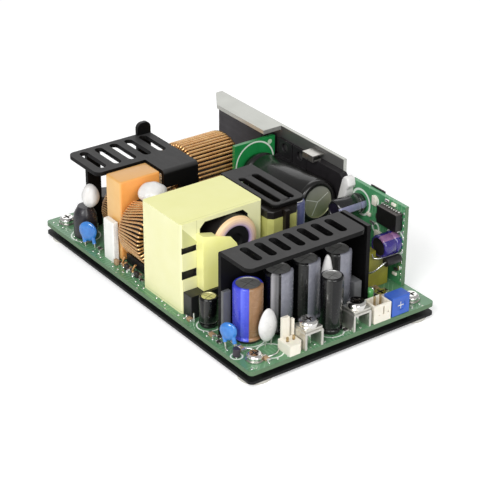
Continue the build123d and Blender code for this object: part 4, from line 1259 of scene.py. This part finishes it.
controlDetail = {
    # The long chip's two rows of legs, with their lowest and highest ends, and the joints up the edge
    "legs": {"count": 8, "x": 38.6, "step": 1.2, "rows": ((20.2, 20.6), (27.5, 27.9))},
    "joints": {"count": 12, "x": 48.3, "high": 2.0, "step": 2.3, "size": (0.32, 0.2, 0.7)},
    # x, height, length, tallness and slot
    "chips": (
        (33.6, 26.4, 2.2, 3.4, 3), (31.0, 20.2, 2.0, 1.2, 3), (33.2, 18.0, 2.6, 1.2, 2),
        (36.2, 14.6, 3.2, 2.6, 3), (40.2, 29.0, 2.0, 1.0, 2), (43.4, 28.9, 2.0, 1.0, 3),
        (31.4, 14.6, 1.8, 1.0, 0), (35.6, 21.4, 1.4, 2.0, 0), (46.2, 5.6, 1.6, 1.0, 0),
        (47.9, 6.8, 0.9, 1.6, 2), (45.6, 3.6, 2.0, 1.0, 3), (22.4, 27.8, 1.4, 0.9, 2),
    ),
    # Radius and path of the diode's bent leads
    "leads": (
        (0.3, (
            (48.0, 29.2, 10.9), (48.0, 27.6, 10.5), (47.6, 25.8, 9.0), (46.4, 24.0, 7.6), (44.6, 23.2, 7.8),
            (43.2, 23.7, 9.0),
        )),
        (0.28, (
            (43.6, 27.0, 13.9), (44.8, 25.6, 12.6), (46.0, 26.4, 12.2), (46.8, 30.0, 12.0),
            (46.8, 35.9, 12.0),
        )),
    ),
}


def makeControlParts():
    # Chip legs, chips, edge joints and the diode's bent leads on the front of the upright board
    form = Form()
    face = controlFace
    row = controlDetail["legs"]
    for index in range(row["count"]):
        x = row["x"] + index * row["step"]
        for low, top in row["rows"]:
            form.box(x - 0.25, x + 0.25, face - 1.6, face, low, top, edge=0.05, slot=2, segments=1)
    for x, high, long, tall, kind in controlDetail["chips"]:
        low, top = high - tall / 2, high + tall / 2
        form.box(x - long / 2, x + long / 2, face - 0.8, face, low, top, edge=0.12, slot=kind)
    row = controlDetail["joints"]
    for index in range(row["count"]):
        form.ball((row["x"], face, row["high"] + index * row["step"]), row["size"], slot=2, detail=2)
    for radius, path in controlDetail["leads"]:
        form.wire(path, radius, slot=2, smooth=5)
    form.piece("controlParts", [chipBlack, chipTan, solder, cream], smooth=50)


greyBox = {"x": (48.4, 53.2), "y": (11.4, 14.6), "high": (0.3, 11.2), "edge": 0.35, "legs": (49.6, 52.0)}


def makeGreyBox():
    # Small grey box capacitor between the last output can and the terminal
    form = Form()
    form.box(*greyBox["x"], *greyBox["y"], *greyBox["high"], edge=greyBox["edge"], segments=3)
    y = sum(greyBox["y"]) / 2
    for x in greyBox["legs"]:
        form.wire([(x, y, 0.5), (x, y, 0.2), (x, y, -0.2)], 0.3, slot=1)
    form.piece("greyBoxCapacitor", [greyCase, tin], smooth=50)


makeBoardParts()
makeControlParts()
makeGreyBox()
print("surface parts made")
